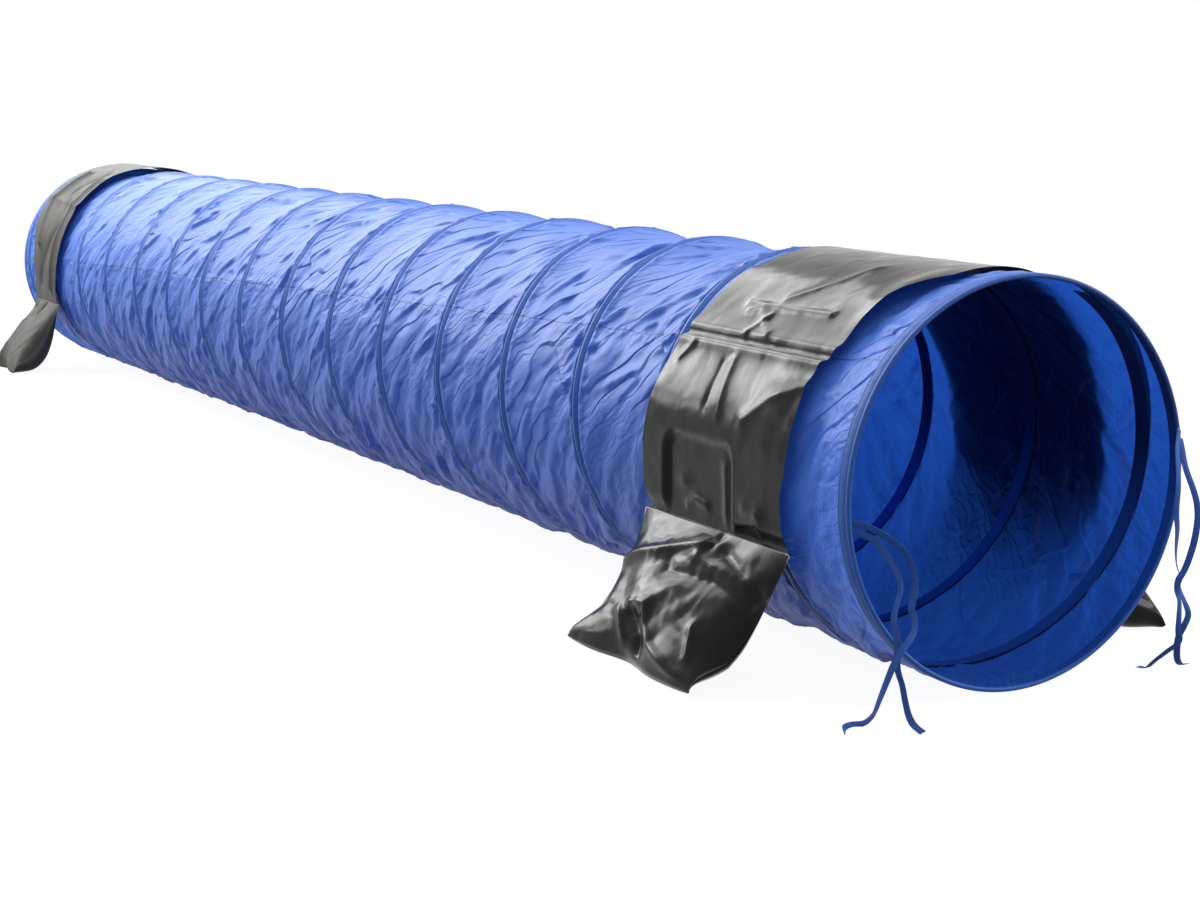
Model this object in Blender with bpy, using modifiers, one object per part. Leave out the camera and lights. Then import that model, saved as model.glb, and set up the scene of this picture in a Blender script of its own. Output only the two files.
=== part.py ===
"""Dog agility tunnel: a fabric tube on a spiral spring wire, held down by two sandbag saddles.

The tunnel lies along Y with its front mouth at -Y. The origin is on the floor under its middle.
Every length is in metres. Angles about the tunnel's axis are counted from +X towards +Z.
"""

import math

import bmesh
import bpy
from mathutils import Matrix, Vector

# Driving dimensions of the tube and its spring wire
TUNNEL_LENGTH = 5.0
TUNNEL_RADIUS = 0.300
WIRE_TURNS = 16
STEPS_PER_TURN = 20
HELIX_START_ANGLE = math.radians(90)
SKIN_THICKNESS = 0.0008
SKIN_SAG_BETWEEN_TURNS = 0.007
WIRE_DIAMETER = 0.003
CASING_WIDTH = 0.028
CASING_THICKNESS = 0.0008
SECTION_COUNT = 8

# The hoop at each mouth and the hem that is folded over it
HOOP_DIAMETER = 0.004
HEM_WIDTH = 0.028
HEM_THICKNESS = 0.0008
HEM_BEND_STEPS = 4

# The four ribbons at the front mouth
TIE_DIAMETER = 0.005
TIE_POINT_SPACING = 0.018
TIE_CURVE_STEPS = 8

# The two saddles
SADDLE_WIDTH = 0.440
STRAP_THICKNESS = 0.0015
BAG_TOP_HEIGHT = 0.205
BAG_TOP_THICKNESS = 0.005
BAG_LEAN = 0.138
BAG_FOOT_SETBACK = 0.078
BAG_FLOOR_DEPTH = 0.058
BAG_SHELL_THICKNESS = 0.0012
BAG_SIDE_TAPER = 0.024
BAG_POINTS_AROUND = 12
BAG_BOXINESS = 0.4
SAND_TOP_HEIGHT = 0.160
CLOSURE_LENGTH = 0.300
CLOSURE_HEIGHT = 0.016
CLOSURE_THICKNESS = 0.0012
FRONT_SADDLE_CENTRE = -2.155
REAR_SADDLE_CENTRE = 2.190

# A bag's outlines from its top to the floor: the shares of its lean, or of its foot's setback, and of
# its height
BAG_OUTER_SHAPE = ((0, 1), (0.06, 0.90), (0.26, 0.73), (0.54, 0.49), (0.80, 0.27), (1, 0.10))
BAG_INNER_SHAPE = ((0, 1), (0, 0.89), (0.05, 0.68), (0.17, 0.41), (0.42, 0.20), (0.72, 0.06), (1, 0))

# Clearances
CLEARANCE = 0.0003
WIRE_CLEARANCE = 0.0005
WELD_DISTANCE = 0.00002

# Worked out from the sizes above
AXIS_HEIGHT = TUNNEL_RADIUS
HALF_LENGTH = TUNNEL_LENGTH / 2
PITCH = TUNNEL_LENGTH / WIRE_TURNS
STEP_ANGLE = 2 * math.pi / STEPS_PER_TURN
WIRE_RADIUS = WIRE_DIAMETER / 2
FACET_SHARE = math.cos(STEP_ANGLE / 2)
WIRE_PATH_RADIUS = TUNNEL_RADIUS - (SKIN_THICKNESS + WIRE_CLEARANCE) / FACET_SHARE - WIRE_RADIUS
HEM_BEND_RADIUS = HOOP_DIAMETER / 2 + WIRE_CLEARANCE + HEM_THICKNESS / FACET_SHARE
STRAP_INNER_RADIUS = TUNNEL_RADIUS + CLEARANCE / FACET_SHARE

# Each ribbon's route from the front of the hem down to the floor: it leaves the hem straight ahead
# between its first two points, and a smooth curve goes through the rest
TIE_ROUTES = {
    "tie_left_long": [
        (-0.2945, -2.5006, 0.2710), (-0.2945, -2.5050, 0.2710), (-0.2630, -2.5130, 0.2630),
        (-0.2320, -2.5200, 0.2450), (-0.2100, -2.5260, 0.2250), (-0.2010, -2.5300, 0.2050),
        (-0.1980, -2.5330, 0.1830), (-0.2020, -2.5360, 0.1630), (-0.2070, -2.5390, 0.1480),
        (-0.2030, -2.5420, 0.1330), (-0.2060, -2.5450, 0.1180), (-0.2180, -2.5500, 0.1060),
        (-0.2320, -2.5540, 0.0940), (-0.2460, -2.5580, 0.0780), (-0.2600, -2.5640, 0.0590),
        (-0.2760, -2.5710, 0.0360), (-0.2870, -2.5730, 0.0170), (-0.2970, -2.5660, 0.0050),
        (-0.3120, -2.5600, 0.0030), (-0.3300, -2.5710, 0.0030), (-0.3450, -2.5950, 0.0030),
    ],
    "tie_left_short": [
        (-0.2925, -2.5006, 0.2580), (-0.2925, -2.5050, 0.2580), (-0.2560, -2.5120, 0.2470),
        (-0.2380, -2.5170, 0.2270), (-0.2270, -2.5200, 0.2090), (-0.2180, -2.5230, 0.1920),
        (-0.2150, -2.5250, 0.1740), (-0.2220, -2.5270, 0.1570), (-0.2280, -2.5290, 0.1360),
        (-0.2270, -2.5320, 0.1160), (-0.2260, -2.5360, 0.1000), (-0.2300, -2.5410, 0.0830),
        (-0.2330, -2.5480, 0.0660), (-0.2310, -2.5560, 0.0480), (-0.2320, -2.5650, 0.0300),
        (-0.2340, -2.5770, 0.0130), (-0.2370, -2.5920, 0.0045), (-0.2430, -2.6120, 0.0030),
        (-0.2490, -2.6380, 0.0030),
    ],
    "tie_right_long": [
        (0.2890, -2.5006, 0.3460), (0.2890, -2.5050, 0.3460), (0.2870, -2.5110, 0.3320),
        (0.2850, -2.5160, 0.3040), (0.2890, -2.5210, 0.2750), (0.2915, -2.5250, 0.2530),
        (0.2900, -2.5290, 0.2320), (0.2820, -2.5330, 0.2030), (0.2700, -2.5360, 0.1760),
        (0.2600, -2.5380, 0.1600), (0.2500, -2.5400, 0.1490), (0.2470, -2.5410, 0.1350),
        (0.2520, -2.5410, 0.1170), (0.2520, -2.5410, 0.0950), (0.2530, -2.5390, 0.0740),
        (0.2600, -2.5320, 0.0530), (0.2560, -2.5120, 0.0360), (0.2480, -2.4930, 0.0180),
        (0.2450, -2.4780, 0.0050), (0.2430, -2.4600, 0.0030),
    ],
    "tie_right_short": [
        (0.2865, -2.5006, 0.3585), (0.2865, -2.5050, 0.3585), (0.2760, -2.5100, 0.3330),
        (0.2690, -2.5140, 0.3050), (0.2630, -2.5170, 0.2760), (0.2590, -2.5190, 0.2470),
        (0.2610, -2.5200, 0.2180), (0.2590, -2.5210, 0.1890), (0.2600, -2.5220, 0.1680),
        (0.2650, -2.5230, 0.1510), (0.2670, -2.5240, 0.1300), (0.2730, -2.5250, 0.1130),
        (0.2810, -2.5260, 0.0920), (0.2740, -2.5250, 0.0740), (0.2700, -2.5190, 0.0580),
        (0.2770, -2.5070, 0.0380), (0.2900, -2.4920, 0.0160), (0.3040, -2.4830, 0.0045),
        (0.3200, -2.4770, 0.0030),
    ],
}

for old in list(bpy.data.objects):
    bpy.data.objects.remove(old)

PARTS = bpy.data.collections.new("dog_agility_tunnel")
bpy.context.scene.collection.children.link(PARTS)


def material(name, colour, roughness, metallic=0.0):
    """A Principled material with one colour."""
    made = bpy.data.materials.new(name)
    made.use_nodes = True
    shader = made.node_tree.nodes["Principled BSDF"]
    shader.inputs["Base Color"].default_value = (*colour, 1.0)
    shader.inputs["Roughness"].default_value = roughness
    shader.inputs["Metallic"].default_value = metallic
    return made


def add_object(name, data, finish):
    """An object in the part's collection, with its own material."""
    made = bpy.data.objects.new(name, data)
    PARTS.objects.link(made)
    made.data.materials.clear()
    made.data.materials.append(material(name, *finish))
    return made


def mesh_from(bm, name):
    """A mesh of what bm holds, shaded smooth, and bm is freed."""
    made = bpy.data.meshes.new(name)
    bm.to_mesh(made)
    bm.free()
    made.shade_smooth()
    return made


def evaluated_mesh(obj):
    """A new mesh of obj with its modifiers applied, in world space."""
    graph = bpy.context.evaluated_depsgraph_get()
    made = bpy.data.meshes.new_from_object(obj.evaluated_get(graph))
    made.transform(obj.matrix_world)
    return made


def add_screw(obj, turns, offset):
    """Turns obj's profile about its own Y axis."""
    screw = obj.modifiers.new("screw", "SCREW")
    screw.axis = "Y"
    screw.angle = 2 * math.pi
    screw.steps = STEPS_PER_TURN
    screw.render_steps = STEPS_PER_TURN
    screw.iterations = turns
    screw.screw_offset = offset
    screw.use_merge_vertices = offset == 0
    screw.merge_threshold = WELD_DISTANCE
    return screw


def add_solidify(obj, thickness, offset):
    """Thickens obj's surface: inwards with offset -1, outwards with offset 1."""
    solid = obj.modifiers.new("thickness", "SOLIDIFY")
    solid.thickness = thickness
    solid.offset = offset
    solid.use_even_offset = True


def polyline_mesh(name, points):
    """A mesh of one open line through points."""
    bm = bmesh.new()
    corners = [bm.verts.new(p) for p in points]
    for first, second in zip(corners, corners[1:]):
        bm.edges.new((first, second))
    return mesh_from(bm, name)


def helix_angle(station):
    """The angle of the spiral wire at a station, a step of it being one facet of the tube."""
    return HELIX_START_ANGLE - station * STEP_ANGLE


def helix_place(station):
    """How far along Y the spiral wire is at a station."""
    return -HALF_LENGTH + station * PITCH / STEPS_PER_TURN


def on_helix(station, radius):
    """A point of the helix of this radius."""
    angle = helix_angle(station)
    return Vector(
        (
            radius * math.cos(angle),
            helix_place(station),
            AXIS_HEIGHT + radius * math.sin(angle),
        )
    )


def at_station(station):
    """The frame in which a profile at +X starts its turn at this station."""
    place = Matrix.Translation((0, helix_place(station), AXIS_HEIGHT))
    return place @ Matrix.Rotation(-helix_angle(station), 4, "Y")


def first_clear_station():
    """The first station whose casing lies clear of the front hem."""
    reach = HEM_WIDTH + CASING_WIDTH / 2 + CLEARANCE
    return math.ceil(reach / (PITCH / STEPS_PER_TURN))


def section_stations(index):
    """The first and last station of a section."""
    total = WIRE_TURNS * STEPS_PER_TURN
    first = round(total * index / SECTION_COUNT)
    last = round(total * (index + 1) / SECTION_COUNT)
    return first, last


def wire_stations(index):
    """The stations between which a section holds spiral wire."""
    first, last = section_stations(index)
    total = WIRE_TURNS * STEPS_PER_TURN
    return max(first, first_clear_station()), min(last, total - first_clear_station())


def whole_skin():
    """The open surface of the whole skin, with a ridge over the wire and a sag between its turns."""
    profile = [
        (TUNNEL_RADIUS, PITCH, 0),
        (TUNNEL_RADIUS - SKIN_SAG_BETWEEN_TURNS, PITCH / 2, 0),
        (TUNNEL_RADIUS, 0, 0),
    ]
    guide = add_object("skin_guide", polyline_mesh("skin_guide", profile), SKIN_FINISH)
    guide.matrix_world = at_station(-STEPS_PER_TURN)
    add_screw(guide, WIRE_TURNS + 2, PITCH)
    bpy.context.view_layer.update()
    surface = evaluated_mesh(guide)
    bpy.data.objects.remove(guide)
    return surface


def make_skin_section(index, surface):
    """One section of the skin, cut from the whole surface between two planes."""
    first, last = section_stations(index)
    low = helix_place(first) + CLEARANCE
    high = helix_place(last) - CLEARANCE
    if index == 0:
        low = -HALF_LENGTH + HEM_WIDTH + CLEARANCE
    if index == SECTION_COUNT - 1:
        high = HALF_LENGTH - HEM_WIDTH - CLEARANCE
    bm = bmesh.new()
    bm.from_mesh(surface)
    bmesh.ops.remove_doubles(bm, verts=bm.verts, dist=WELD_DISTANCE)
    for place, way in ((low, -1), (high, 1)):
        bmesh.ops.bisect_plane(
            bm,
            geom=bm.verts[:] + bm.edges[:] + bm.faces[:],
            dist=WELD_DISTANCE,
            plane_co=(0, place, 0),
            plane_no=(0, way, 0),
            clear_outer=True,
        )
    name = f"skin_section_{index + 1:02d}"
    skin = add_object(name, mesh_from(bm, name), SKIN_FINISH)
    add_solidify(skin, SKIN_THICKNESS, -1)
    return skin


def make_tube(name, points, radius, resolution, finish):
    """A round wire or cord through points."""
    curve = bpy.data.curves.new(name, "CURVE")
    curve.dimensions = "3D"
    curve.bevel_depth = radius
    curve.bevel_resolution = resolution
    curve.use_fill_caps = True
    spline = curve.splines.new("POLY")
    spline.points.add(len(points) - 1)
    for point, place in zip(spline.points, points):
        point.co = (*place, 1)
    return add_object(name, curve, finish)


def make_wire_section(index):
    """The spiral wire of one section, from its first station to its last."""
    first, last = wire_stations(index)
    points = [on_helix(station, WIRE_PATH_RADIUS) for station in range(first, last + 1)]
    for end, inner in ((0, 1), (-1, -2)):
        along = (points[inner] - points[end]).normalized()
        points[end] = points[end] + along * WIRE_CLEARANCE
    return make_tube(f"wire_section_{index + 1:02d}", points, WIRE_RADIUS, 1, WIRE_FINISH)


def make_casing_section(index):
    """The tape that holds one section's wire to the skin, open at its two sewn edges."""
    first, last = wire_stations(index)
    drop = SKIN_SAG_BETWEEN_TURNS * CASING_WIDTH / PITCH
    edge_radius = TUNNEL_RADIUS - drop - (SKIN_THICKNESS + WIRE_CLEARANCE) / FACET_SHARE
    rise = edge_radius - WIRE_PATH_RADIUS + WIRE_DIAMETER
    lean = math.cos(math.atan(rise / (CASING_WIDTH / 2)))
    top_radius = WIRE_PATH_RADIUS - (WIRE_RADIUS + WIRE_CLEARANCE) / (lean * FACET_SHARE)
    profile = [
        (edge_radius, CASING_WIDTH / 2, 0),
        (top_radius, 0, 0),
        (edge_radius, -CASING_WIDTH / 2, 0),
    ]
    name = f"casing_section_{index + 1:02d}"
    casing = add_object(name, polyline_mesh(name, profile), CASING_FINISH)
    end_gap = CLEARANCE / (TUNNEL_RADIUS * STEP_ANGLE)
    casing.matrix_world = at_station(first + end_gap)
    steps = last - first
    turned = steps - 2 * end_gap
    screw = add_screw(casing, 1, PITCH * turned / STEPS_PER_TURN)
    screw.angle = turned * STEP_ANGLE
    screw.steps = steps
    screw.render_steps = steps
    add_solidify(casing, CASING_THICKNESS, -1)
    return casing


def hem_profile():
    """The outside of a folded hem at the front mouth, from its outer rear edge round to its inner."""
    bend = HEM_BEND_RADIUS
    centre = TUNNEL_RADIUS - bend
    inner_rear = TUNNEL_RADIUS - 2 * HEM_THICKNESS - 2 * CLEARANCE
    points = [(TUNNEL_RADIUS, HEM_WIDTH, 0)]
    for step in range(HEM_BEND_STEPS + 1):
        angle = math.pi / 2 - math.pi * step / HEM_BEND_STEPS
        points.append((centre + bend * math.sin(angle), bend - bend * math.cos(angle), 0))
    points.append((inner_rear, HEM_WIDTH, 0))
    return points


def mouth_frame(front):
    """The frame of a mouth, with +Y into the tunnel."""
    if front:
        return Matrix.Translation((0, -HALF_LENGTH, AXIS_HEIGHT))
    return Matrix.Translation((0, HALF_LENGTH, AXIS_HEIGHT)) @ Matrix.Rotation(math.pi, 4, "Z")


def make_hem(name, front):
    """The hem of a mouth, folded over its hoop."""
    hem = add_object(name, polyline_mesh(name, hem_profile()), HEM_FINISH)
    hem.matrix_world = mouth_frame(front)
    add_screw(hem, 1, 0)
    add_solidify(hem, HEM_THICKNESS, -1)
    return hem


def make_hoop(name, front):
    """The closed wire hoop inside a mouth's hem."""
    bpy.ops.mesh.primitive_torus_add(
        major_segments=STEPS_PER_TURN,
        minor_segments=8,
        major_radius=TUNNEL_RADIUS - HEM_BEND_RADIUS,
        minor_radius=HOOP_DIAMETER / 2,
    )
    made = bpy.context.object
    mesh = made.data
    bpy.data.objects.remove(made)
    mesh.transform(Matrix.Rotation(math.pi / 2, 4, "X"))
    mesh.shade_smooth()
    hoop = add_object(name, mesh, WIRE_FINISH)
    hoop.matrix_world = mouth_frame(front) @ Matrix.Translation((0, HEM_BEND_RADIUS, 0))
    return hoop


def smooth_route(points, spacing):
    """Evenly spaced points on a smooth curve through points."""
    fine = []
    for i in range(len(points) - 1):
        before = points[max(i - 1, 0)]
        start, end = points[i], points[i + 1]
        after = points[min(i + 2, len(points) - 1)]
        for k in range(TIE_CURVE_STEPS):
            t = k / TIE_CURVE_STEPS
            fine.append(
                0.5
                * (
                    2 * start
                    + (end - before) * t
                    + (2 * before - 5 * start + 4 * end - after) * t**2
                    + (3 * start - before - 3 * end + after) * t**3
                )
            )
    fine.append(points[-1])
    length = sum((b - a).length for a, b in zip(fine, fine[1:]))
    count = max(2, round(length / spacing))
    even = [fine[0]]
    travelled = 0.0
    for a, b in zip(fine, fine[1:]):
        piece = (b - a).length
        while len(even) < count and travelled + piece >= len(even) * length / count:
            share = (len(even) * length / count - travelled) / piece
            even.append(a.lerp(b, share))
        travelled += piece
    even.append(fine[-1])
    return even


def make_tie(name, route):
    """One ribbon, as a plain round cord along its route."""
    start, *rest = [Vector(p) for p in route]
    points = [start] + smooth_route(rest, TIE_POINT_SPACING)
    return make_tube(name, points, TIE_DIAMETER / 2, 2, TIE_FINISH)


def make_strap(name, centre):
    """The strap of a saddle: over the tunnel, then straight down to the top of each bag."""
    half_turn = STEPS_PER_TURN // 2
    path = [(STRAP_INNER_RADIUS, BAG_TOP_HEIGHT + CLEARANCE)]
    for step in range(half_turn + 1):
        angle = math.pi * step / half_turn
        x = STRAP_INNER_RADIUS * math.cos(angle)
        path.append((x, AXIS_HEIGHT + STRAP_INNER_RADIUS * math.sin(angle)))
    path.append((-STRAP_INNER_RADIUS, BAG_TOP_HEIGHT + CLEARANCE))
    bm = bmesh.new()
    corners = [bm.verts.new((x, centre - SADDLE_WIDTH / 2, z)) for x, z in path]
    edges = [bm.edges.new(pair) for pair in zip(corners, corners[1:])]
    swept = bmesh.ops.extrude_edge_only(bm, edges=edges)["geom"]
    moved = [v for v in swept if isinstance(v, bmesh.types.BMVert)]
    bmesh.ops.translate(bm, verts=moved, vec=(0, SADDLE_WIDTH, 0))
    bmesh.ops.recalc_face_normals(bm, faces=bm.faces)
    top = max(bm.faces, key=lambda face: face.calc_center_median().z)
    if top.normal.z < 0:
        bmesh.ops.reverse_faces(bm, faces=bm.faces)
    strap = add_object(name, mesh_from(bm, name), VINYL_FINISH)
    add_solidify(strap, STRAP_THICKNESS, 1)
    return strap


def bag_outlines():
    """A bag's outer and inner outline from its top to the floor, as (distance from the axis, height)."""
    inner_top = STRAP_INNER_RADIUS
    outer_top = inner_top + BAG_TOP_THICKNESS
    outer = [(outer_top + out * BAG_LEAN, up * BAG_TOP_HEIGHT) for out, up in BAG_OUTER_SHAPE]
    inner = [(inner_top + out * BAG_FOOT_SETBACK, up * BAG_TOP_HEIGHT) for out, up in BAG_INNER_SHAPE]
    outer.append((inner[-1][0] + BAG_FLOOR_DEPTH, 0))
    return outer, inner


def make_loft(rings, name, finish, close_top, flip):
    """A surface through rings of points, closed at the last ring and, if asked, at the first."""
    bm = bmesh.new()
    loops = [[bm.verts.new(p) for p in ring] for ring in rings]
    count = len(loops[0])
    for upper, lower in zip(loops, loops[1:]):
        for i in range(count):
            j = (i + 1) % count
            bm.faces.new((upper[i], upper[j], lower[j], lower[i]))
    bm.faces.new(loops[-1])
    if close_top:
        bm.faces.new(loops[0][::-1])
    if flip:
        bmesh.ops.reverse_faces(bm, faces=bm.faces)
    return add_object(name, mesh_from(bm, name), finish)


def bag_ring(outer, inner, half_width, centre, side):
    """One ring of a bag between an outer and an inner point, boxy with round corners."""
    ring = []
    for i in range(BAG_POINTS_AROUND):
        angle = 2 * math.pi * (i + 0.5) / BAG_POINTS_AROUND
        across = math.copysign(abs(math.sin(angle)) ** BAG_BOXINESS, math.sin(angle))
        along = math.copysign(abs(math.cos(angle)) ** BAG_BOXINESS, math.cos(angle))
        share = (1 + across) / 2
        x = inner[0] + (outer[0] - inner[0]) * share
        z = inner[1] + (outer[1] - inner[1]) * share
        ring.append(Vector((side * x, centre + half_width * along, z)))
    return ring


def bag_half_width(height):
    """Half a bag's length along the tunnel at a height."""
    return SADDLE_WIDTH / 2 - BAG_SIDE_TAPER * (1 - height / BAG_TOP_HEIGHT)


def bag_rings(centre, side):
    """The rings of a bag, from its mouth to the floor."""
    return [
        bag_ring(outer, inner, bag_half_width(outer[1]), centre, side)
        for outer, inner in zip(*bag_outlines())
    ]


def rings_below(rings, height):
    """The rings whose highest point is below a height, after one at that height."""
    tops = [max(point.z for point in ring) for ring in rings]
    first = next(i for i, top in enumerate(tops) if top < height)
    share = (tops[first - 1] - height) / (tops[first - 1] - tops[first])
    start = [upper.lerp(lower, share) for upper, lower in zip(rings[first - 1], rings[first])]
    return [start] + rings[first:]


def make_bag(name, centre, side):
    """The shell of a bag, open at its mouth under the strap."""
    bag = make_loft(bag_rings(centre, side), name, VINYL_FINISH, False, side < 0)
    add_solidify(bag, BAG_SHELL_THICKNESS, -1)
    return bag


def make_sand(name, centre, side):
    """The sand in the lower part of a bag, a clearance inside its shell."""
    rings = rings_below(bag_rings(centre, side), SAND_TOP_HEIGHT)
    sand = make_loft(rings, name, SAND_FINISH, True, side < 0)
    bm = bmesh.new()
    bm.from_mesh(sand.data)
    inset = BAG_SHELL_THICKNESS + 2 * CLEARANCE
    moves = [(v, v.normal * inset * v.calc_shell_factor()) for v in bm.verts]
    for vertex, move in moves:
        vertex.co -= move
    bm.to_mesh(sand.data)
    bm.free()
    return sand


def make_closure(name, centre, side):
    """The hook-and-loop strip in the mouth of a bag."""
    outer, inner = bag_outlines()
    low = inner[0][0] + BAG_SHELL_THICKNESS + CLEARANCE
    high = outer[0][0] - BAG_SHELL_THICKNESS - CLEARANCE
    bm = bmesh.new()
    bmesh.ops.create_cube(bm, size=1)
    size = (CLOSURE_THICKNESS, CLOSURE_LENGTH, CLOSURE_HEIGHT)
    place = (
        side * (low + high) / 2,
        centre,
        BAG_TOP_HEIGHT - CLEARANCE - CLOSURE_HEIGHT / 2,
    )
    bmesh.ops.scale(bm, verts=bm.verts, vec=size)
    bmesh.ops.translate(bm, verts=bm.verts, vec=place)
    return add_object(name, mesh_from(bm, name), CLOSURE_FINISH)


def make_saddle(name, centre):
    """A saddle: its strap, and on each side a bag with its sand and its closure."""
    make_strap(f"{name}_strap", centre)
    for side_name, side in (("left", -1), ("right", 1)):
        make_bag(f"{name}_bag_{side_name}", centre, side)
        make_sand(f"{name}_sand_{side_name}", centre, side)
        make_closure(f"{name}_closure_{side_name}", centre, side)


# Colour, roughness and metallic value of each finish
SKIN_FINISH = ((0.050, 0.110, 0.600), 0.45)
HEM_FINISH = ((0.045, 0.130, 0.560), 0.50)
CASING_FINISH = ((0.010, 0.030, 0.200), 0.60)
WIRE_FINISH = ((0.350, 0.350, 0.360), 0.35, 1.0)
TIE_FINISH = ((0.040, 0.120, 0.560), 0.70)
VINYL_FINISH = ((0.022, 0.022, 0.024), 0.18)
SAND_FINISH = ((0.500, 0.400, 0.260), 0.95)
CLOSURE_FINISH = ((0.015, 0.015, 0.016), 0.90)

skin_surface = whole_skin()
for section in range(SECTION_COUNT):
    make_skin_section(section, skin_surface)
    make_wire_section(section)
    make_casing_section(section)
bpy.data.meshes.remove(skin_surface)

for mouth, is_front in (("front", True), ("rear", False)):
    make_hem(f"hem_{mouth}", is_front)
    make_hoop(f"hoop_{mouth}", is_front)

for tie_name, tie_route in TIE_ROUTES.items():
    make_tie(tie_name, tie_route)

make_saddle("saddle_front", FRONT_SADDLE_CENTRE)
make_saddle("saddle_rear", REAR_SADDLE_CENTRE)
bpy.context.view_layer.update()
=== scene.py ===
"""The looks of the dog agility tunnel: crinkled polyester on a spiral wire, black vinyl saddles, ribbons.

The tunnel lies along Y with its front mouth at -Y. Every length is in metres, and every angle about the
tunnel's axis is counted from +X towards +Z.
"""

import math

import bmesh
import bpy
import numpy as np
from mathutils import Matrix, Vector


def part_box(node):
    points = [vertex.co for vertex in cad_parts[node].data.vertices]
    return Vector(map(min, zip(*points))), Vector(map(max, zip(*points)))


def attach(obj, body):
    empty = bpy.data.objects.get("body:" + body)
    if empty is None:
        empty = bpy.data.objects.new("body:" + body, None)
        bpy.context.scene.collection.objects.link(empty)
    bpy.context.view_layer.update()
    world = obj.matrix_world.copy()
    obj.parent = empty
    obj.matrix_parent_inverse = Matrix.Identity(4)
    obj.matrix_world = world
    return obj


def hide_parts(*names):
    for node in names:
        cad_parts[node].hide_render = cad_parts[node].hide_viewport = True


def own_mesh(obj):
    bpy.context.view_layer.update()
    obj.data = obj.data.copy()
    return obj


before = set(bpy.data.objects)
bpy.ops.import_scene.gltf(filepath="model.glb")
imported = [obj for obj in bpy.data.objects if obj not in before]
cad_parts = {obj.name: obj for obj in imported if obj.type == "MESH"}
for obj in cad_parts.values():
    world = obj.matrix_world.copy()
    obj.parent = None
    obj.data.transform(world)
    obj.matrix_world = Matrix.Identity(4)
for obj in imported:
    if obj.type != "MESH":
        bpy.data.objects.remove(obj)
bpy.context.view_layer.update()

# The tube, as the frame has it
HEM_LOW, HEM_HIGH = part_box("hem_front")
RADIUS = (HEM_HIGH.x - HEM_LOW.x) / 2
GIRTH = 2 * math.pi * RADIUS
AXIS_HEIGHT = (HEM_HIGH.z + HEM_LOW.z) / 2
HALF_LENGTH = -HEM_LOW.y
HEM_WIDTH = HEM_HIGH.y - HEM_LOW.y
TURNS = 16
PITCH = 2 * HALF_LENGTH / TURNS

# The spiral wire, its casing and what it does to the cloth
START_ANGLE = math.radians(95)
FIRST_CASED_TURN = 0.085
CASING_HALF_WIDTH = 0.014
WIRE_RADIUS = 0.0015
WIRE_DEPTH = 0.0021
CASING_DEPTH = 0.0045
CASING_EDGE_DEPTH = 0.0056
STITCH_OFFSET = 0.0124
TENT_HEIGHT = 0.0024
PUFF_HEIGHT = 0.0026
STITCH_DEPTH = 0.0008
UNDER_STRAP_DEPTH = 0.0008
IN_HEM_DEPTH = 0.0012
# How deep the cloth hangs between two turns: (height of the place on the tube from -1 to 1, depth)
CLOTH_SAG = ((-1.0, 0.002), (0.0, 0.009), (1.0, 0.014))
# The lengthwise seam: its angle at the tube's middle, and how it turns along the tube
SEAM_ANGLE = math.radians(158.7)
SEAM_TURN = math.radians(7.09)
# The wire's waviness near the mouth: (turns past its start, how far it is pushed along the tube)
WIRE_SHIFTS = ((0.0, 0.018), (0.10, 0.022), (0.20, 0.017), (0.30, 0.011), (0.45, 0.012), (0.8, 0.0))
# Its slow waviness everywhere else: (size, waves to a turn, start)
WIRE_WAVES = ((0.0022, 0.83, 0.4), (0.0016, 1.71, 2.1))

# How far the front mouth leans: its slope across and upwards, and where the lean starts and is whole
LEAN_ACROSS = math.tan(math.radians(4.22))
LEAN_UP = math.tan(math.radians(-1.235))
LEAN_FROM = -1.9
LEAN_WHOLE = -2.4

# The collapse, which squeezes the cloth and its wire towards the middle of the front saddle
STRAP_LOW, STRAP_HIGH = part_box("saddle_front_strap")
REAR_STRAP_LOW, REAR_STRAP_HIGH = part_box("saddle_rear_strap")
FRONT_CENTRE = (STRAP_LOW.y + STRAP_HIGH.y) / 2
REAR_CENTRE = (REAR_STRAP_LOW.y + REAR_STRAP_HIGH.y) / 2
SADDLE_HALF_WIDTH = (STRAP_HIGH.y - STRAP_LOW.y) / 2
HINGE_HEIGHT = STRAP_LOW.z

# The camera, from the tube's outline in the photograph
CAMERA_PLACE = (-2.0145, -5.3701, 0.8653)
CAMERA_AIM = (0.43997, 0.88694, -0.14058)
CAMERA_LENS = 74.52
CAMERA_SHIFT = (-0.0399, -0.0134)

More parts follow.
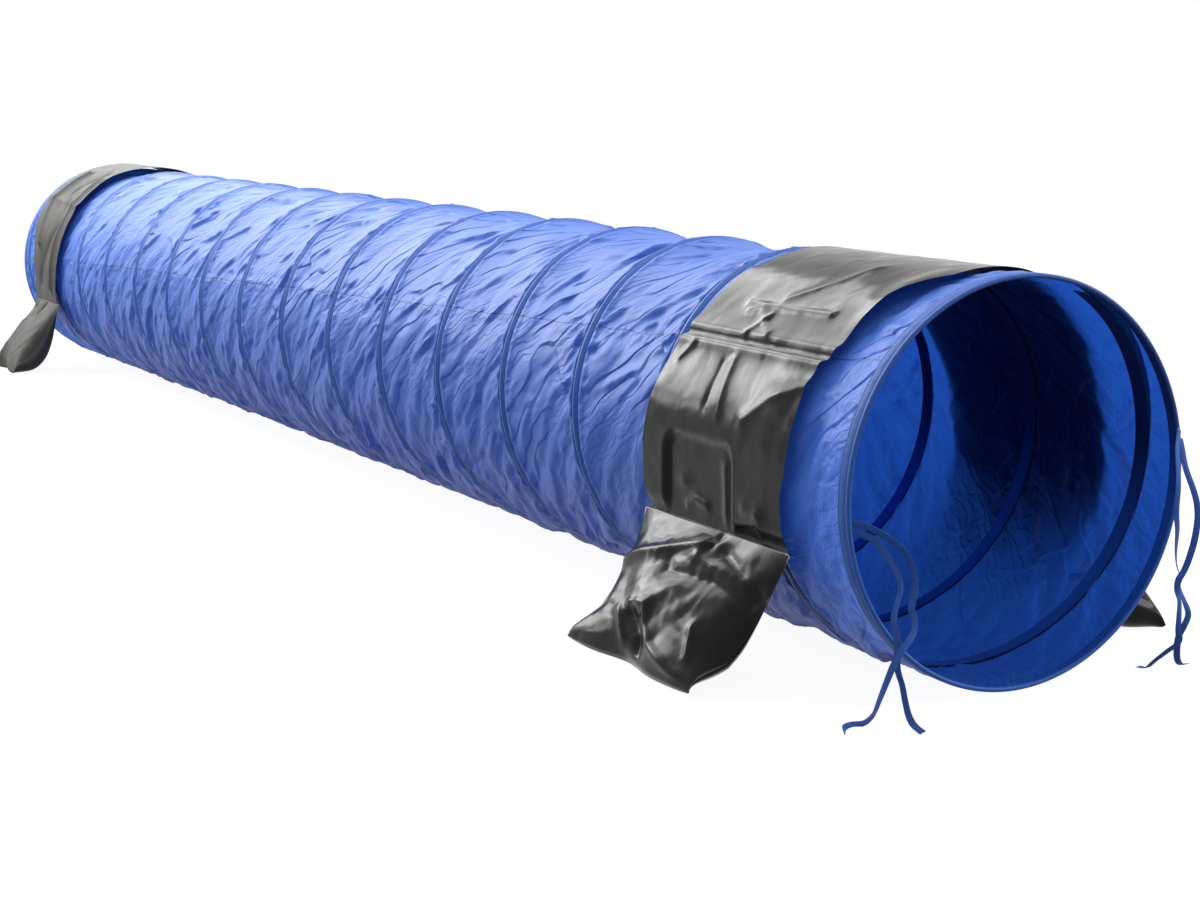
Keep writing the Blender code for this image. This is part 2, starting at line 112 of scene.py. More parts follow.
# Each ribbon's route from the front of the hem down to the floor
TIE_WIDTH = 0.010
TIE_THICKNESS = 0.0009
TIE_ROUTES = {
    "tie_left_long": [
        (-0.2945, -2.5006, 0.271), (-0.2945, -2.505, 0.271), (-0.263, -2.513, 0.263),
        (-0.232, -2.52, 0.245), (-0.21, -2.526, 0.225), (-0.201, -2.53, 0.205),
        (-0.198, -2.533, 0.183), (-0.202, -2.536, 0.163), (-0.207, -2.539, 0.148),
        (-0.203, -2.542, 0.133), (-0.206, -2.545, 0.118), (-0.218, -2.55, 0.106),
        (-0.232, -2.554, 0.094), (-0.246, -2.558, 0.078), (-0.26, -2.564, 0.059),
        (-0.276, -2.571, 0.036), (-0.287, -2.573, 0.017), (-0.297, -2.566, 0.005),
        (-0.312, -2.56, 0.003), (-0.33, -2.571, 0.003), (-0.345, -2.595, 0.003),
    ],
    "tie_left_short": [
        (-0.2925, -2.5006, 0.258), (-0.2925, -2.505, 0.258), (-0.256, -2.512, 0.247),
        (-0.238, -2.517, 0.227), (-0.227, -2.52, 0.209), (-0.218, -2.523, 0.192),
        (-0.215, -2.525, 0.174), (-0.222, -2.527, 0.157), (-0.228, -2.529, 0.136),
        (-0.227, -2.532, 0.116), (-0.226, -2.536, 0.1), (-0.23, -2.541, 0.083),
        (-0.233, -2.548, 0.066), (-0.231, -2.556, 0.048), (-0.232, -2.565, 0.03),
        (-0.234, -2.577, 0.013), (-0.237, -2.592, 0.0045), (-0.243, -2.612, 0.003),
        (-0.249, -2.638, 0.003),
    ],
    "tie_right_long": [
        (0.289, -2.5006, 0.346), (0.289, -2.505, 0.346), (0.287, -2.511, 0.332),
        (0.285, -2.516, 0.304), (0.289, -2.521, 0.275), (0.2915, -2.525, 0.253),
        (0.29, -2.529, 0.232), (0.282, -2.533, 0.203), (0.27, -2.536, 0.176),
        (0.26, -2.538, 0.16), (0.25, -2.54, 0.149), (0.247, -2.541, 0.135),
        (0.252, -2.541, 0.117), (0.252, -2.541, 0.095), (0.253, -2.539, 0.074),
        (0.26, -2.532, 0.053), (0.256, -2.512, 0.036), (0.248, -2.493, 0.018),
        (0.245, -2.478, 0.005), (0.243, -2.46, 0.003),
    ],
    "tie_right_short": [
        (0.2865, -2.5006, 0.3585), (0.2865, -2.505, 0.3585), (0.276, -2.51, 0.333),
        (0.269, -2.514, 0.305), (0.263, -2.517, 0.276), (0.259, -2.519, 0.247),
        (0.261, -2.52, 0.218), (0.259, -2.521, 0.189), (0.26, -2.522, 0.168),
        (0.265, -2.523, 0.151), (0.267, -2.524, 0.13), (0.273, -2.525, 0.113),
        (0.281, -2.526, 0.092), (0.274, -2.525, 0.074), (0.27, -2.519, 0.058),
        (0.277, -2.507, 0.038), (0.29, -2.492, 0.016), (0.304, -2.483, 0.0045),
        (0.32, -2.477, 0.003),
    ],
}


def smoothstep(low, high, value):
    """0 below low, 1 above high and smooth between, also where high is below low."""
    share = np.clip((value - low) / (high - low), 0.0, 1.0)
    return share * share * (3 - 2 * share)


def bell(value, middle, width):
    """1 at the middle, fading to 0 on both sides."""
    return np.exp(-(((value - middle) / width) ** 2))


def lean(points):
    """Points (an array of x, y, z) moved along the tube as the leaning front mouth moves them."""
    points = np.array(points, dtype=float)
    fade = smoothstep(LEAN_FROM, LEAN_WHOLE, points[..., 1])
    shift = LEAN_ACROSS * points[..., 0] + LEAN_UP * (points[..., 2] - AXIS_HEIGHT)
    points[..., 1] += shift * fade
    return points


def wire_shift(turns):
    """How far along the tube the wire is pushed, so many turns past its start."""
    slow = sum(size * np.sin(2 * np.pi * turns * rate + start) for size, rate, start in WIRE_WAVES)
    return np.interp(turns, *zip(*WIRE_SHIFTS)) + slow * smoothstep(0.5, 1.0, turns)


def polar_points(angle, radius, place):
    """Points at an angle, a radius from the tube's axis and a place along it."""
    return np.stack([radius * np.cos(angle), place + 0 * angle, AXIS_HEIGHT + radius * np.sin(angle)], -1)


# How far above the floor each kind of piece stays
FLOOR_GAP = {"hem": 0.0002, "ribbon": 0.0004, "bag": 0.0006, "skin": 0.0007, "casing": 0.0012}


def above_floor(points, kind):
    """The points, with those that lie too low raised."""
    points[..., 2] = np.maximum(points[..., 2], FLOOR_GAP[kind])
    return points


def outwards(angle):
    """The direction away from the tube's axis."""
    return np.stack([np.cos(angle), 0 * angle, np.sin(angle)], -1)


def to_hem(place):
    """How far a place along the tube is from the nearer hem's inner edge."""
    return HALF_LENGTH - HEM_WIDTH - np.abs(place)


def mesh_object(name, points, faces, uvs=None, closed=False):
    """A smooth mesh object; uvs maps a UV layer's name to one (u, v) for each corner of each face.

    A closed mesh gets its faces turned outwards.
    """
    mesh = bpy.data.meshes.new(name)
    mesh.from_pydata(np.asarray(points).reshape(-1, 3).tolist(), [], [list(face) for face in faces])
    for layer, values in (uvs or {}).items():
        mesh.uv_layers.new(name=layer).data.foreach_set("uv", np.asarray(values, dtype=np.float32).ravel())
    if closed:
        with_bmesh(mesh, lambda bm: bmesh.ops.recalc_face_normals(bm, faces=bm.faces))
    mesh.shade_smooth()
    made = bpy.data.objects.new(name, mesh)
    bpy.context.scene.collection.objects.link(made)
    return made


def with_bmesh(mesh, change):
    """Changes a mesh by a function of its bmesh."""
    bm = bmesh.new()
    bm.from_mesh(mesh)
    change(bm)
    bm.to_mesh(mesh)
    bm.free()


def grid_faces(rows, columns, wrap=False, loop=False):
    """The quads of a grid of points stored row by row.

    With wrap its last column is joined to its first, and with loop its last row to its first.
    """
    index = np.arange(rows * columns).reshape(rows, columns)
    if wrap:
        index = np.concatenate([index, index[:, :1]], 1)
    if loop:
        index = np.concatenate([index, index[:1]], 0)
    return np.stack([index[:-1, :-1], index[1:, :-1], index[1:, 1:], index[:-1, 1:]], -1).reshape(-1, 4)


def corner_values(values):
    """A grid's values at each face's corners, in the order of grid_faces."""
    return np.stack([values[:-1, :-1], values[1:, :-1], values[1:, 1:], values[:-1, 1:]], -2).reshape(-1, 2)


# The cloth of the tube, a grid whose columns are steps round it and whose rows are turns along it


class Helix:
    """The grid: its last column goes on in its first, one turn later."""

    def __init__(self, around, turns):
        self.around = around
        self.turns = np.asarray(turns, dtype=float)
        self.step = np.arange(around)[:, None] / around
        self.angle = START_ANGLE - 2 * np.pi * self.step + 0 * self.turns[None, :]
        self.wound = self.step + self.turns[None, :]
        self.place = -HALF_LENGTH + PITCH * self.wound
        self.phase = np.mod(self.turns, 1)[None, :] + 0 * self.step
        self.from_wire = (self.phase - np.round(self.phase)) * PITCH

    def points(self):
        """The points of the sagging cloth, without folds."""
        sag = np.interp(np.sin(self.angle), *zip(*CLOTH_SAG))
        sag = sag * 4 * self.phase * (1 - self.phase) * smoothstep(0.0, 0.09, to_hem(self.place))
        return polar_points(self.angle, RADIUS - sag, self.place)


def ahead(values, shift):
    """Each point's value one column further, the last column going on in the first, shift rows later."""
    out = np.empty_like(values)
    out[:-1] = values[1:]
    out[-1, :-shift] = values[0, shift:]
    out[-1, -shift:] = values[-1, -shift:]
    return out


def behind(values, shift):
    """Each point's value one column back."""
    out = np.empty_like(values)
    out[1:] = values[:-1]
    out[0, shift:] = values[-1, :-shift]
    out[0, :shift] = values[0, :shift]
    return out


def spiral_index(columns, rows, shift):
    """Each point's number and that of the next one round the tube, or -1 where there is none."""
    index = np.arange(columns * rows).reshape(columns, rows)
    further = np.full((columns, rows), -1)
    further[:-1] = index[1:]
    further[-1, : rows - shift] = index[0, shift:]
    return index, further


def thread_pairs(columns, rows, shift):
    """Pairs of neighbouring points, in sets in which no point is used twice, with each set's direction."""
    index, further = spiral_index(columns, rows, shift)
    for parity in (0, 1):
        first, second = index[:, parity:-1:2], index[:, parity + 1 :: 2]
        count = min(first.shape[1], second.shape[1])
        mine, other = index[parity::2], further[parity::2]
        for way, first, second in (
            ("along", first[:, :count], second[:, :count]),
            ("round", mine, other),
            ("rising", mine[:, :-1], other[:, 1:]),
            ("falling", other[:, :-1], mine[:, 1:]),
        ):
            keep = (first >= 0) & (second >= 0)
            yield way, first[keep], second[keep]


# How much longer the cloth is than the room it has, by direction
SPARE_CLOTH = {"round": 0.012, "along": 0.02, "rising": 0.034, "falling": 0.0}
# How near the wire the cloth is held, over which width it then comes free, and how near a mouth it is held
HELD_BY_WIRE = 0.004
COMES_FREE_OVER = 0.012
HELD_BY_MOUTH = 0.03


def relax(helix, per_turn, moved, noise, spare, rounds, bend, rng):
    """Lets the cloth buckle: moves the points until neighbours are as far apart as the cloth is long."""
    rest = helix.points()
    free = np.clip((np.abs(helix.from_wire) - HELD_BY_WIRE) / COMES_FREE_OVER, 0, 1)[..., None]
    free = free * (np.abs(helix.place) < HALF_LENGTH - HELD_BY_MOUTH)[..., None]
    pushed = rng.normal(0, noise, rest.shape[:2])[..., None]
    moved = (moved + outwards(helix.angle) * pushed) * free
    flat = rest.reshape(-1, 3)
    threads = []
    for way, first, second in thread_pairs(helix.around, len(helix.turns), per_turn):
        longer = 1 + spare * SPARE_CLOTH[way]
        threads.append((first, second, np.linalg.norm(flat[first] - flat[second], axis=1) * longer))
    weight = free.reshape(-1)
    for _ in range(rounds):
        points = (rest + moved).reshape(-1, 3)
        for first, second, length in threads:
            gap = points[second] - points[first]
            now = np.sqrt((gap * gap).sum(1))
            total = weight[first] + weight[second] + 1e-9
            fix = gap * ((now - length) / (now * total))[:, None]
            points[first] += fix * weight[first][:, None]
            points[second] -= fix * weight[second][:, None]
        moved = points.reshape(rest.shape) - rest
        around = ahead(moved, per_turn) + behind(moved, per_turn)
        along = np.concatenate([moved[:, 1:], moved[:, -1:]], 1)
        along = along + np.concatenate([moved[:, :1], moved[:, :-1]], 1)
        moved += bend * ((around + along) / 4 - moved)
        moved *= free**0.25
    return moved


def refine(moved, per_turn):
    """The same movements on a grid twice as fine both ways."""
    wide = np.empty((moved.shape[0] * 2, moved.shape[1], 3))
    wide[0::2] = moved
    wide[1::2] = (moved + ahead(moved, per_turn)) / 2
    out = np.empty((wide.shape[0], wide.shape[1] * 2 - 1, 3))
    out[:, 0::2] = wide
    out[:, 1::2] = (wide[:, 1:] + wide[:, :-1]) / 2
    return out


# Columns round the tube, rows to a turn, first noise, share of the spare cloth, rounds and stiffness
RELAX_STEPS = (
    (72, 12, 0.003, 0.6, 60, 0.05),
    (144, 24, 0.0012, 1.2, 50, 0.03),
    (288, 48, 0.0006, 1.8, 40, 0.015),
)


def buckled_cloth():
    """The cloth's movements on an even grid, and that grid's rows to a turn.

    The grid starts a turn before the front mouth and ends at the rear mouth.
    """
    rng = np.random.default_rng(7)
    moved = None
    for around, per_turn, noise, spare, rounds, bend in RELAX_STEPS[: 3]:
        helix = Helix(around, np.arange(-per_turn, TURNS * per_turn + 1) / per_turn)
        moved = np.zeros(helix.points().shape) if moved is None else refine(moved, per_turn // 2)
        moved = relax(helix, per_turn, moved, noise, spare, rounds, bend, rng)
    return moved, per_turn


def wave(u, v, way, length, start):
    """A sine wave of a length, running in a direction."""
    return np.sin(2 * np.pi * (u * np.cos(way) + v * np.sin(way)) / length + start)


def fold_noise(u, v, size, rng, waves=5):
    """Sharp creases in random directions, about size apart, from -1 to 1."""
    total = np.zeros_like(u)
    for _ in range(waves):
        turn = rng.uniform(0, np.pi)
        bent = (u * np.cos(turn) + v * np.sin(turn)) / size
        for _ in range(2):
            way = rng.uniform(0, 2 * np.pi)
            length = size * rng.uniform(2.0, 5.0)
            bent = bent + 0.35 * wave(u, v, way, length, rng.uniform(0, 6))
        fold = np.abs(np.mod(bent, 1) * 2 - 1) * 2 - 1
        way = rng.uniform(0, 2 * np.pi)
        total += fold * (0.55 + 0.45 * wave(u, v, way, size * 4.3, rng.uniform(0, 6)))
    return total / waves


# The sharp folds: how many on the whole tube, how long and high they are, and how quickly they fade above
# and below their bottom line
FOLDS = 1500
FOLD_LENGTH = (0.05, 0.18)
FOLD_HEIGHT = (0.0016, 0.0056)
FOLD_STEEP_SIDE = (0.0032, 0.005)
FOLD_GENTLE_SIDE = (0.01, 0.03)
# The share that starts by a wire, and how many turns from it; the share with the usual slant, that slant's
# mean and spread in degrees, and the other folds' slants
SHARE_BY_WIRE = 0.6
FOLD_FROM_WIRE = (0.04, 0.1)
SHARE_SLANTED = 0.85
FOLD_SLANT = (41, 9)
OTHER_SLANTS = (-60, 90)
# The spread of how a fold bends, and how much of its length it takes to rise
FOLD_BEND = 1.2
FOLD_RISE = 0.25
# The swelling above a fold's bottom line: share of the fold's height, its middle and its width
FOLD_SWELL = (0.6, -0.009, 0.007)
# How far beyond a fold's ends its window reaches
FOLD_MARGIN = 0.05


def pinched_folds(helix, rng):
    """How far sharp slanting folds lift the cloth: each one steep above its bottom and gentle below it."""
    lift = np.zeros(helix.place.shape)
    for _ in range(FOLDS):
        column = rng.integers(helix.around)
        turn = rng.uniform(-1, TURNS)
        if rng.uniform() < SHARE_BY_WIRE:
            turn = np.round(turn) + rng.choice([-1, 1]) * rng.uniform(*FOLD_FROM_WIRE)
        usual = rng.uniform() < SHARE_SLANTED
        slope = math.radians(rng.normal(*FOLD_SLANT) if usual else rng.uniform(*OTHER_SLANTS))
        length = rng.uniform(*FOLD_LENGTH)
        height = rng.uniform(*FOLD_HEIGHT) * (0.5 + length / FOLD_LENGTH[1])
        steep, gentle = rng.uniform(*FOLD_STEEP_SIDE), rng.uniform(*FOLD_GENTLE_SIDE)
        reach = int((length + FOLD_MARGIN) / GIRTH * helix.around)
        columns = np.arange(column - reach, column + reach + 1)
        margin = (length + FOLD_MARGIN) / PITCH + reach / helix.around + 1
        low, high = np.searchsorted(helix.turns, (turn - margin, turn + margin))
        if high - low < 2:
            continue
        window = np.ix_(np.mod(columns, helix.around), np.arange(low, high))
        start = column / helix.around
        forward = helix.place[window] + HALF_LENGTH - PITCH * (start + turn)
        # The right flank's folds mirror the left flank's
        side = 1 if math.cos(START_ANGLE - 2 * math.pi * start) < 0.1 else -1
        across = side * (start - columns[:, None] / helix.around) * GIRTH
        bend = rng.normal(0, FOLD_BEND)
        run = across * math.sin(slope) + forward * math.cos(slope)
        down = across * math.cos(slope) - forward * math.sin(slope) - bend * run * (length - run)
        share = np.clip(run / length, 0, 1)
        strength = np.minimum(share / FOLD_RISE, (1 - share) / (1 - FOLD_RISE)) * (run > 0) * (run < length)
        sides = np.where(down < 0, np.exp(np.minimum(down, 0) / steep), np.exp(-np.maximum(down, 0) / gentle))
        swell, middle, width = FOLD_SWELL
        lift[window] += height * strength * (swell * bell(down, middle, width) - sides)
    return lift


def under_strap(place, angle, centre, margin):
    """1 where a strap covers the tube, fading to 0 over margin beyond its edges."""
    covered = 1 - smoothstep(0.0, margin, np.abs(place - centre) - SADDLE_HALF_WIDTH)
    return covered * (np.sin(angle) > (HINGE_HEIGHT - AXIS_HEIGHT) / RADIUS - 0.2)


# Rows on each side of the wire, and how many more to the middle between two turns
ROWS_BY_WIRE = (0.0018, 0.0036, 0.0062, 0.0092, 0.0112, 0.0122, 0.0134, 0.0165)
ROWS_BETWEEN = 61


def cloth_turns():
    """The rows of the finished cloth, close together by the wire."""
    near = np.array(ROWS_BY_WIRE) / PITCH
    between = np.linspace(near[-1], 1 - near[-1], ROWS_BETWEEN + 2)[1:-1]
    one = np.concatenate([[0.0], near, between, 1 - near[::-1]])
    return np.concatenate([one + turn for turn in range(-1, TURNS)] + [[float(TURNS)]])


# How much of a buckle's movement stays, and of its depth where it goes in and where it comes out
KEPT_MOVE = 0.4
KEPT_DEPTH = (-0.3, -0.5)
# How far a buckle slides down where it now comes out, and up where it goes in, as a share of its depth
SLUMP = 0.8
# The tape's tent: its shape, and how it fades beyond the stitches
TENT_POWER = 1.2
TENT_FADE = 0.006
# Middle and width of the puffed cloth beside the wire, and the width of a stitch row
PUFF_BELL = (0.02, 0.007)
STITCH_WIDTH = 0.0011
# Creases of the cloth: height, size and how much the place along the tube counts
CREASES_BETWEEN = ((0.0038, 0.11, 1.0), (0.001, 0.04, 1.0))
CREASES_BY_MOUTH = ((0.0056, 0.045, 0.7), (0.0014, 0.024, 1.0))
# Where buckles and creases set in: from the wire, and from the hem
BUCKLES_FROM = (0.006, 0.02)
BETWEEN_FROM = ((0.013, 0.028), (0.0, 0.03))
FOLDS_FROM = ((0.013, 0.02), (0.0, 0.02))
BY_MOUTH_FROM = ((0.014, 0.022), (0.0, 0.02))
# How far from the hem the creases by the mouth end
BY_MOUTH_END = (0.16, 0.06)
# Over which lengths the cloth slides under a strap, goes into the hem and takes up the wire's waviness,
# and how much room it has where the strap's hold ends
STRAP_FADE = 0.03
HEM_FADE = 0.012
WAVINESS_FADE = 0.05
ROOM_BY_STRAP = 0.01


def set_in(ranges, by_wire, by_hem):
    """0 by the wire and by the hem, and 1 beyond both ranges."""
    from_wire, from_hem = ranges
    return smoothstep(*from_wire, by_wire) * smoothstep(*from_hem, by_hem)


def creased(kinds, arc, place, rng):
    """The height of several kinds of creases."""
    return sum(height * fold_noise(arc, place * along, size, rng) for height, size, along in kinds)


def cloth_points():
    """The finished cloth: its grid and its points."""
    moved, per_turn = buckled_cloth()
    moved, per_turn = refine(moved, per_turn), 2 * per_turn
    helix = Helix(moved.shape[0], cloth_turns())
    at = (helix.turns + 1) * per_turn
    row = np.minimum(at.astype(int), moved.shape[1] - 2)
    share = (at - row)[None, :, None]
    by_wire = np.abs(helix.from_wire)
    moved = moved[:, row] * (1 - share) + moved[:, row + 1] * share
    moved *= smoothstep(*BUCKLES_FROM, by_wire)[..., None]
    away = outwards(helix.angle)
    bulge = (moved * away).sum(-1)
    turned = np.where(bulge < 0, *KEPT_DEPTH) * bulge
    points = helix.points() + moved * KEPT_MOVE + away * (turned - bulge * KEPT_MOVE)[..., None]
    points[..., 2] -= SLUMP * turned

    across, place, up = points[..., 0], points[..., 1], points[..., 2] - AXIS_HEIGHT
    radius = np.hypot(across, up)
    angle = np.arctan2(up, across)
    arc = np.unwrap(helix.angle, axis=0) * RADIUS
    free = to_hem(place)

    # By the wire: the tape's tent, the puffed cloth beside it and the row of stitches
    rng = np.random.default_rng(21)
    tent = np.minimum(by_wire / STITCH_OFFSET, 1) ** TENT_POWER
    radius -= TENT_HEIGHT * tent * np.exp(-np.maximum(by_wire - STITCH_OFFSET, 0) / TENT_FADE)
    beside_wire = bell(by_wire, *PUFF_BELL)
    radius += PUFF_HEIGHT * beside_wire - STITCH_DEPTH * bell(by_wire, STITCH_OFFSET, STITCH_WIDTH)
    radius += 0.0013 * fold_noise(arc + place, place * 0.4, 0.030, rng) * beside_wire
    # Between the wires, and more of it near the mouths
    radius += creased(CREASES_BETWEEN, arc, place, rng) * set_in(BETWEEN_FROM, by_wire, free)
    radius += pinched_folds(helix, rng) * set_in(FOLDS_FROM, by_wire, free)
    by_mouth = smoothstep(*BY_MOUTH_END, free) * set_in(BY_MOUTH_FROM, by_wire, free)
    radius += creased(CREASES_BY_MOUTH, arc, place, rng) * by_mouth

    for centre in (FRONT_CENTRE, REAR_CENTRE):
        covered = under_strap(place, angle, centre, STRAP_FADE)
        limit = RADIUS - UNDER_STRAP_DEPTH + ROOM_BY_STRAP * (1 - covered)
        radius = np.where(covered > 0, np.minimum(radius, limit), radius)
    in_hem = smoothstep(HEM_FADE, 0.0, free)
    radius = radius * (1 - in_hem) + (RADIUS - IN_HEM_DEPTH) * in_hem

    points = polar_points(angle, radius, place)
    first = helix.step + np.floor(helix.turns)
    pushed = wire_shift(first) * (1 - helix.phase) + wire_shift(first + 1) * helix.phase
    points[..., 1] += pushed * smoothstep(0.0, WAVINESS_FADE, free)
    return helix, lean(above_floor(points, "skin"))


def make_skin():
    """The whole cloth of the tube, one sheet from hem to hem."""
    helix, points = cloth_points()
    around, rows = points.shape[:2]
    index, further = spiral_index(around, rows, (rows - 1) // (TURNS + 1))
    faces = np.stack([index[:, :-1], further[:, :-1], further[:, 1:], index[:, 1:]], -1)
    past_mouth = np.abs(helix.place) > HALF_LENGTH + 0.02
    keep = (faces.min(-1) >= 0) & ~past_mouth[:, :-1]
    from_bottom = np.mod(helix.angle + math.pi / 2, 2 * math.pi) * RADIUS
    wound = np.stack([helix.wound * GIRTH, helix.turns[None, :] * PITCH + 0 * helix.place], -1)

    def corners(values, next_column):
        """The values at each kept face's corners, with the change to the next column."""
        further_values = values + np.array(next_column)
        around_face = [values[:, :-1], further_values[:, :-1], further_values[:, 1:], values[:, 1:]]
        return np.stack(around_face, -2)[keep]

    uvs = {
        "cloth": corners(np.stack([from_bottom, helix.place], -1), (-GIRTH / around, PITCH / around)),
        "wire": corners(wound, (GIRTH / around, 0.0)),
    }
    skin = mesh_object("skin", points, faces[keep], uvs)
    with_bmesh(skin.data, trim_to_hems)
    skin.data.shade_smooth()
    return skin


def trim_to_hems(bm):
    """Cuts the cloth off inside both hems, along the front mouth's lean."""
    for way, normal in ((-1, (LEAN_ACROSS, -1, LEAN_UP)), (1, (0, 1, 0))):
        bmesh.ops.bisect_plane(
            bm,
            geom=bm.verts[:] + bm.edges[:] + bm.faces[:],
            dist=0.00002,
            plane_co=(0.0, way * (HALF_LENGTH - HEM_WIDTH * 0.8), AXIS_HEIGHT),
            plane_no=normal,
            clear_outer=True,
        )
    bmesh.ops.delete(bm, geom=[v for v in bm.verts if not v.link_faces], context="VERTS")


def wire_line(per_turn, first=FIRST_CASED_TURN):
    """Angle, wound turns and place of points along the cased wire, from so many turns past its start."""
    wound = np.linspace(first, TURNS - first, int(round((TURNS - 2 * first) * per_turn)) + 1)
    return START_ANGLE - 2 * np.pi * wound, wound, -HALF_LENGTH + PITCH * wound + wire_shift(wound)


def make_casing():
    """The dark tape over the wire on the inside, with the wire standing out in its middle."""
    angle, wound, place = wire_line(144)
    shares = np.array([-1, -0.86, -0.55, -0.28, -0.12, 0, 0.12, 0.28, 0.55, 0.86, 1])[None, :]
    offsets = shares * CASING_HALF_WIDTH
    depth = CASING_DEPTH + (CASING_EDGE_DEPTH - CASING_DEPTH) * np.abs(shares) ** 1.2
    depth = depth + 0.0006 * bell(offsets, 0.0, 0.0025)
    angles = angle[:, None] + offsets * PITCH / GIRTH / RADIUS
    points = polar_points(angles, RADIUS - depth, place[:, None] + offsets)
    points = above_floor(points, "casing")
    along = wound[:, None] * GIRTH + 0 * offsets
    uv = np.stack([along, offsets + 0 * along], -1)
    return mesh_object("casing", lean(points), grid_faces(*along.shape), {"wire": corner_values(uv)})


def open_edges(bm):
    """The edges with one face."""
    return [edge for edge in bm.edges if edge.is_boundary]


def make_wire():
    """The spiral wire itself, between the cloth and the tape."""
    angle, _, place = wire_line(96, FIRST_CASED_TURN + 0.006)
    line = lean(polar_points(angle, RADIUS - WIRE_DEPTH, place))
    turn = np.linspace(0, 2 * np.pi, 7)[None, :-1, None]
    away = outwards(angle)[:, None, :]
    rings = line[:, None, :] + WIRE_RADIUS * (np.cos(turn) * away + np.sin(turn) * np.array([0.0, 1.0, 0.0]))
    wire = mesh_object("spiral_wire", rings, grid_faces(len(line), 6, wrap=True))
    with_bmesh(wire.data, lambda bm: bmesh.ops.holes_fill(bm, edges=open_edges(bm), sides=6))
    return wire


# The hem over its hoop: (distance from the mouth, depth under the tube's radius), from its outer rear
# edge round the hoop to its inner rear edge
HEM_OUTER = (
    (0.028, 0.0011), (0.0268, 0.0004), (0.0252, 0.0003), (0.024, 0.0009), (0.0228, 0.0003),
    (0.018, 0.0001), (0.013, 0.0004), (0.0098, 0.0008), (0.0084, 0.0014), (0.0072, 0.0007),
)
HEM_INNER = (
    (0.0072, 0.0064), (0.0084, 0.0048), (0.0098, 0.0043), (0.013, 0.0038), (0.018, 0.0031),
    (0.0228, 0.0026), (0.024, 0.0021), (0.0252, 0.0025), (0.0268, 0.0024), (0.028, 0.0019),
)
HOOP_BULGE_RADIUS = 0.0036
HOOP_BULGE_STEPS = 10
HEM_STITCHES = (0.0084, 0.024)
# How many puckers of each kind there are round a hem, and how high they are
PUCKERS = (41, 57, 83, 29, 113)
PUCKER_HEIGHT = 0.00011
HEM_COLUMNS = 288


def make_hem(name, front):
    """A mouth's hem, a band folded over the hoop, with two rows of stitches and small puckers."""
    turn = np.pi * np.arange(HOOP_BULGE_STEPS + 1) / HOOP_BULGE_STEPS
    bend = HOOP_BULGE_RADIUS * (1 - np.stack([np.sin(turn), np.cos(turn)], -1))
    profile = np.concatenate([HEM_OUTER, bend, HEM_INNER])
    from_mouth, depth = profile[None, :, 0], profile[None, :, 1]
    angle = np.linspace(0, 2 * np.pi, HEM_COLUMNS + 1)[:-1][:, None]
    rng = np.random.default_rng(5 if front else 6)
    pucker = sum(np.sin(waves * angle + rng.uniform(0, 6)) * rng.uniform(0.4, 1.0) for waves in PUCKERS)
    depth = depth + PUCKER_HEIGHT * pucker * smoothstep(0.007, 0.012, from_mouth)
    points = polar_points(angle + 0 * depth, RADIUS - depth, from_mouth - HALF_LENGTH)
    points = above_floor(points, "hem")
    if front:
        points = lean(points)
    else:
        points[..., 1] *= -1
    across = profile[:, 0].copy()
    across[len(HEM_OUTER) + HOOP_BULGE_STEPS // 2 + 1 :] *= -1
    across = np.append(across, across[0])[None, :]
    along = np.arange(HEM_COLUMNS + 1)[:, None] / HEM_COLUMNS * GIRTH
    uv = np.stack([along + 0 * across, across + 0 * along], -1)
    faces = grid_faces(HEM_COLUMNS, len(profile), wrap=True, loop=True)
    return mesh_object(name, points, faces, {"hem": corner_values(uv)}, closed=True)


# Ribbons


def smooth_route(points, spacing):
    """Evenly spaced points on a smooth curve through points."""
    points = [Vector(p) for p in points]
    fine = []
    for i in range(len(points) - 1):
        before, start, end = points[max(i - 1, 0)], points[i], points[i + 1]
        after = points[min(i + 2, len(points) - 1)]
        for k in range(8):
            t = k / 8
            bend = (2 * before - 5 * start + 4 * end - after) * t**2
            twist = (3 * start - before - 3 * end + after) * t**3
            fine.append(0.5 * (2 * start + (end - before) * t + bend + twist))
    fine.append(points[-1])
    fine = np.array(fine)
    travelled = np.concatenate([[0], np.cumsum(np.linalg.norm(np.diff(fine, axis=0), axis=1))])
    even = np.linspace(0, travelled[-1], max(2, round(travelled[-1] / spacing)) + 1)
    return np.stack([np.interp(even, travelled, fine[:, axis]) for axis in range(3)], 1)


# Each ribbon's first width, and (share of its length, degrees turned) points
RIBBON_TURNS = {
    "tie_left_long": ((0, 0.3, 1), ((0, 0), (0.3, 40), (0.5, -20), (0.8, 60), (1, 10))),
    "tie_left_short": ((0, 0.3, 1), ((0, 20), (0.4, -30), (0.7, 50), (1, 20))),
    "tie_right_long": ((0.9, -0.4, 0), ((0, 0), (0.3, 25), (0.5, 60), (0.6, -20), (0.8, 30), (1, 0))),
    "tie_right_short": ((0.9, -0.4, 0), ((0, -20), (0.3, 10), (0.55, -60), (0.7, 20), (1, 30))),
}
TIE_SPACING = 0.004
# How deep a ribbon's cross-section is hollowed, and over which length a right one follows the lean
TIE_CUP = 0.0006
TIE_LEAN_LENGTH = 0.1


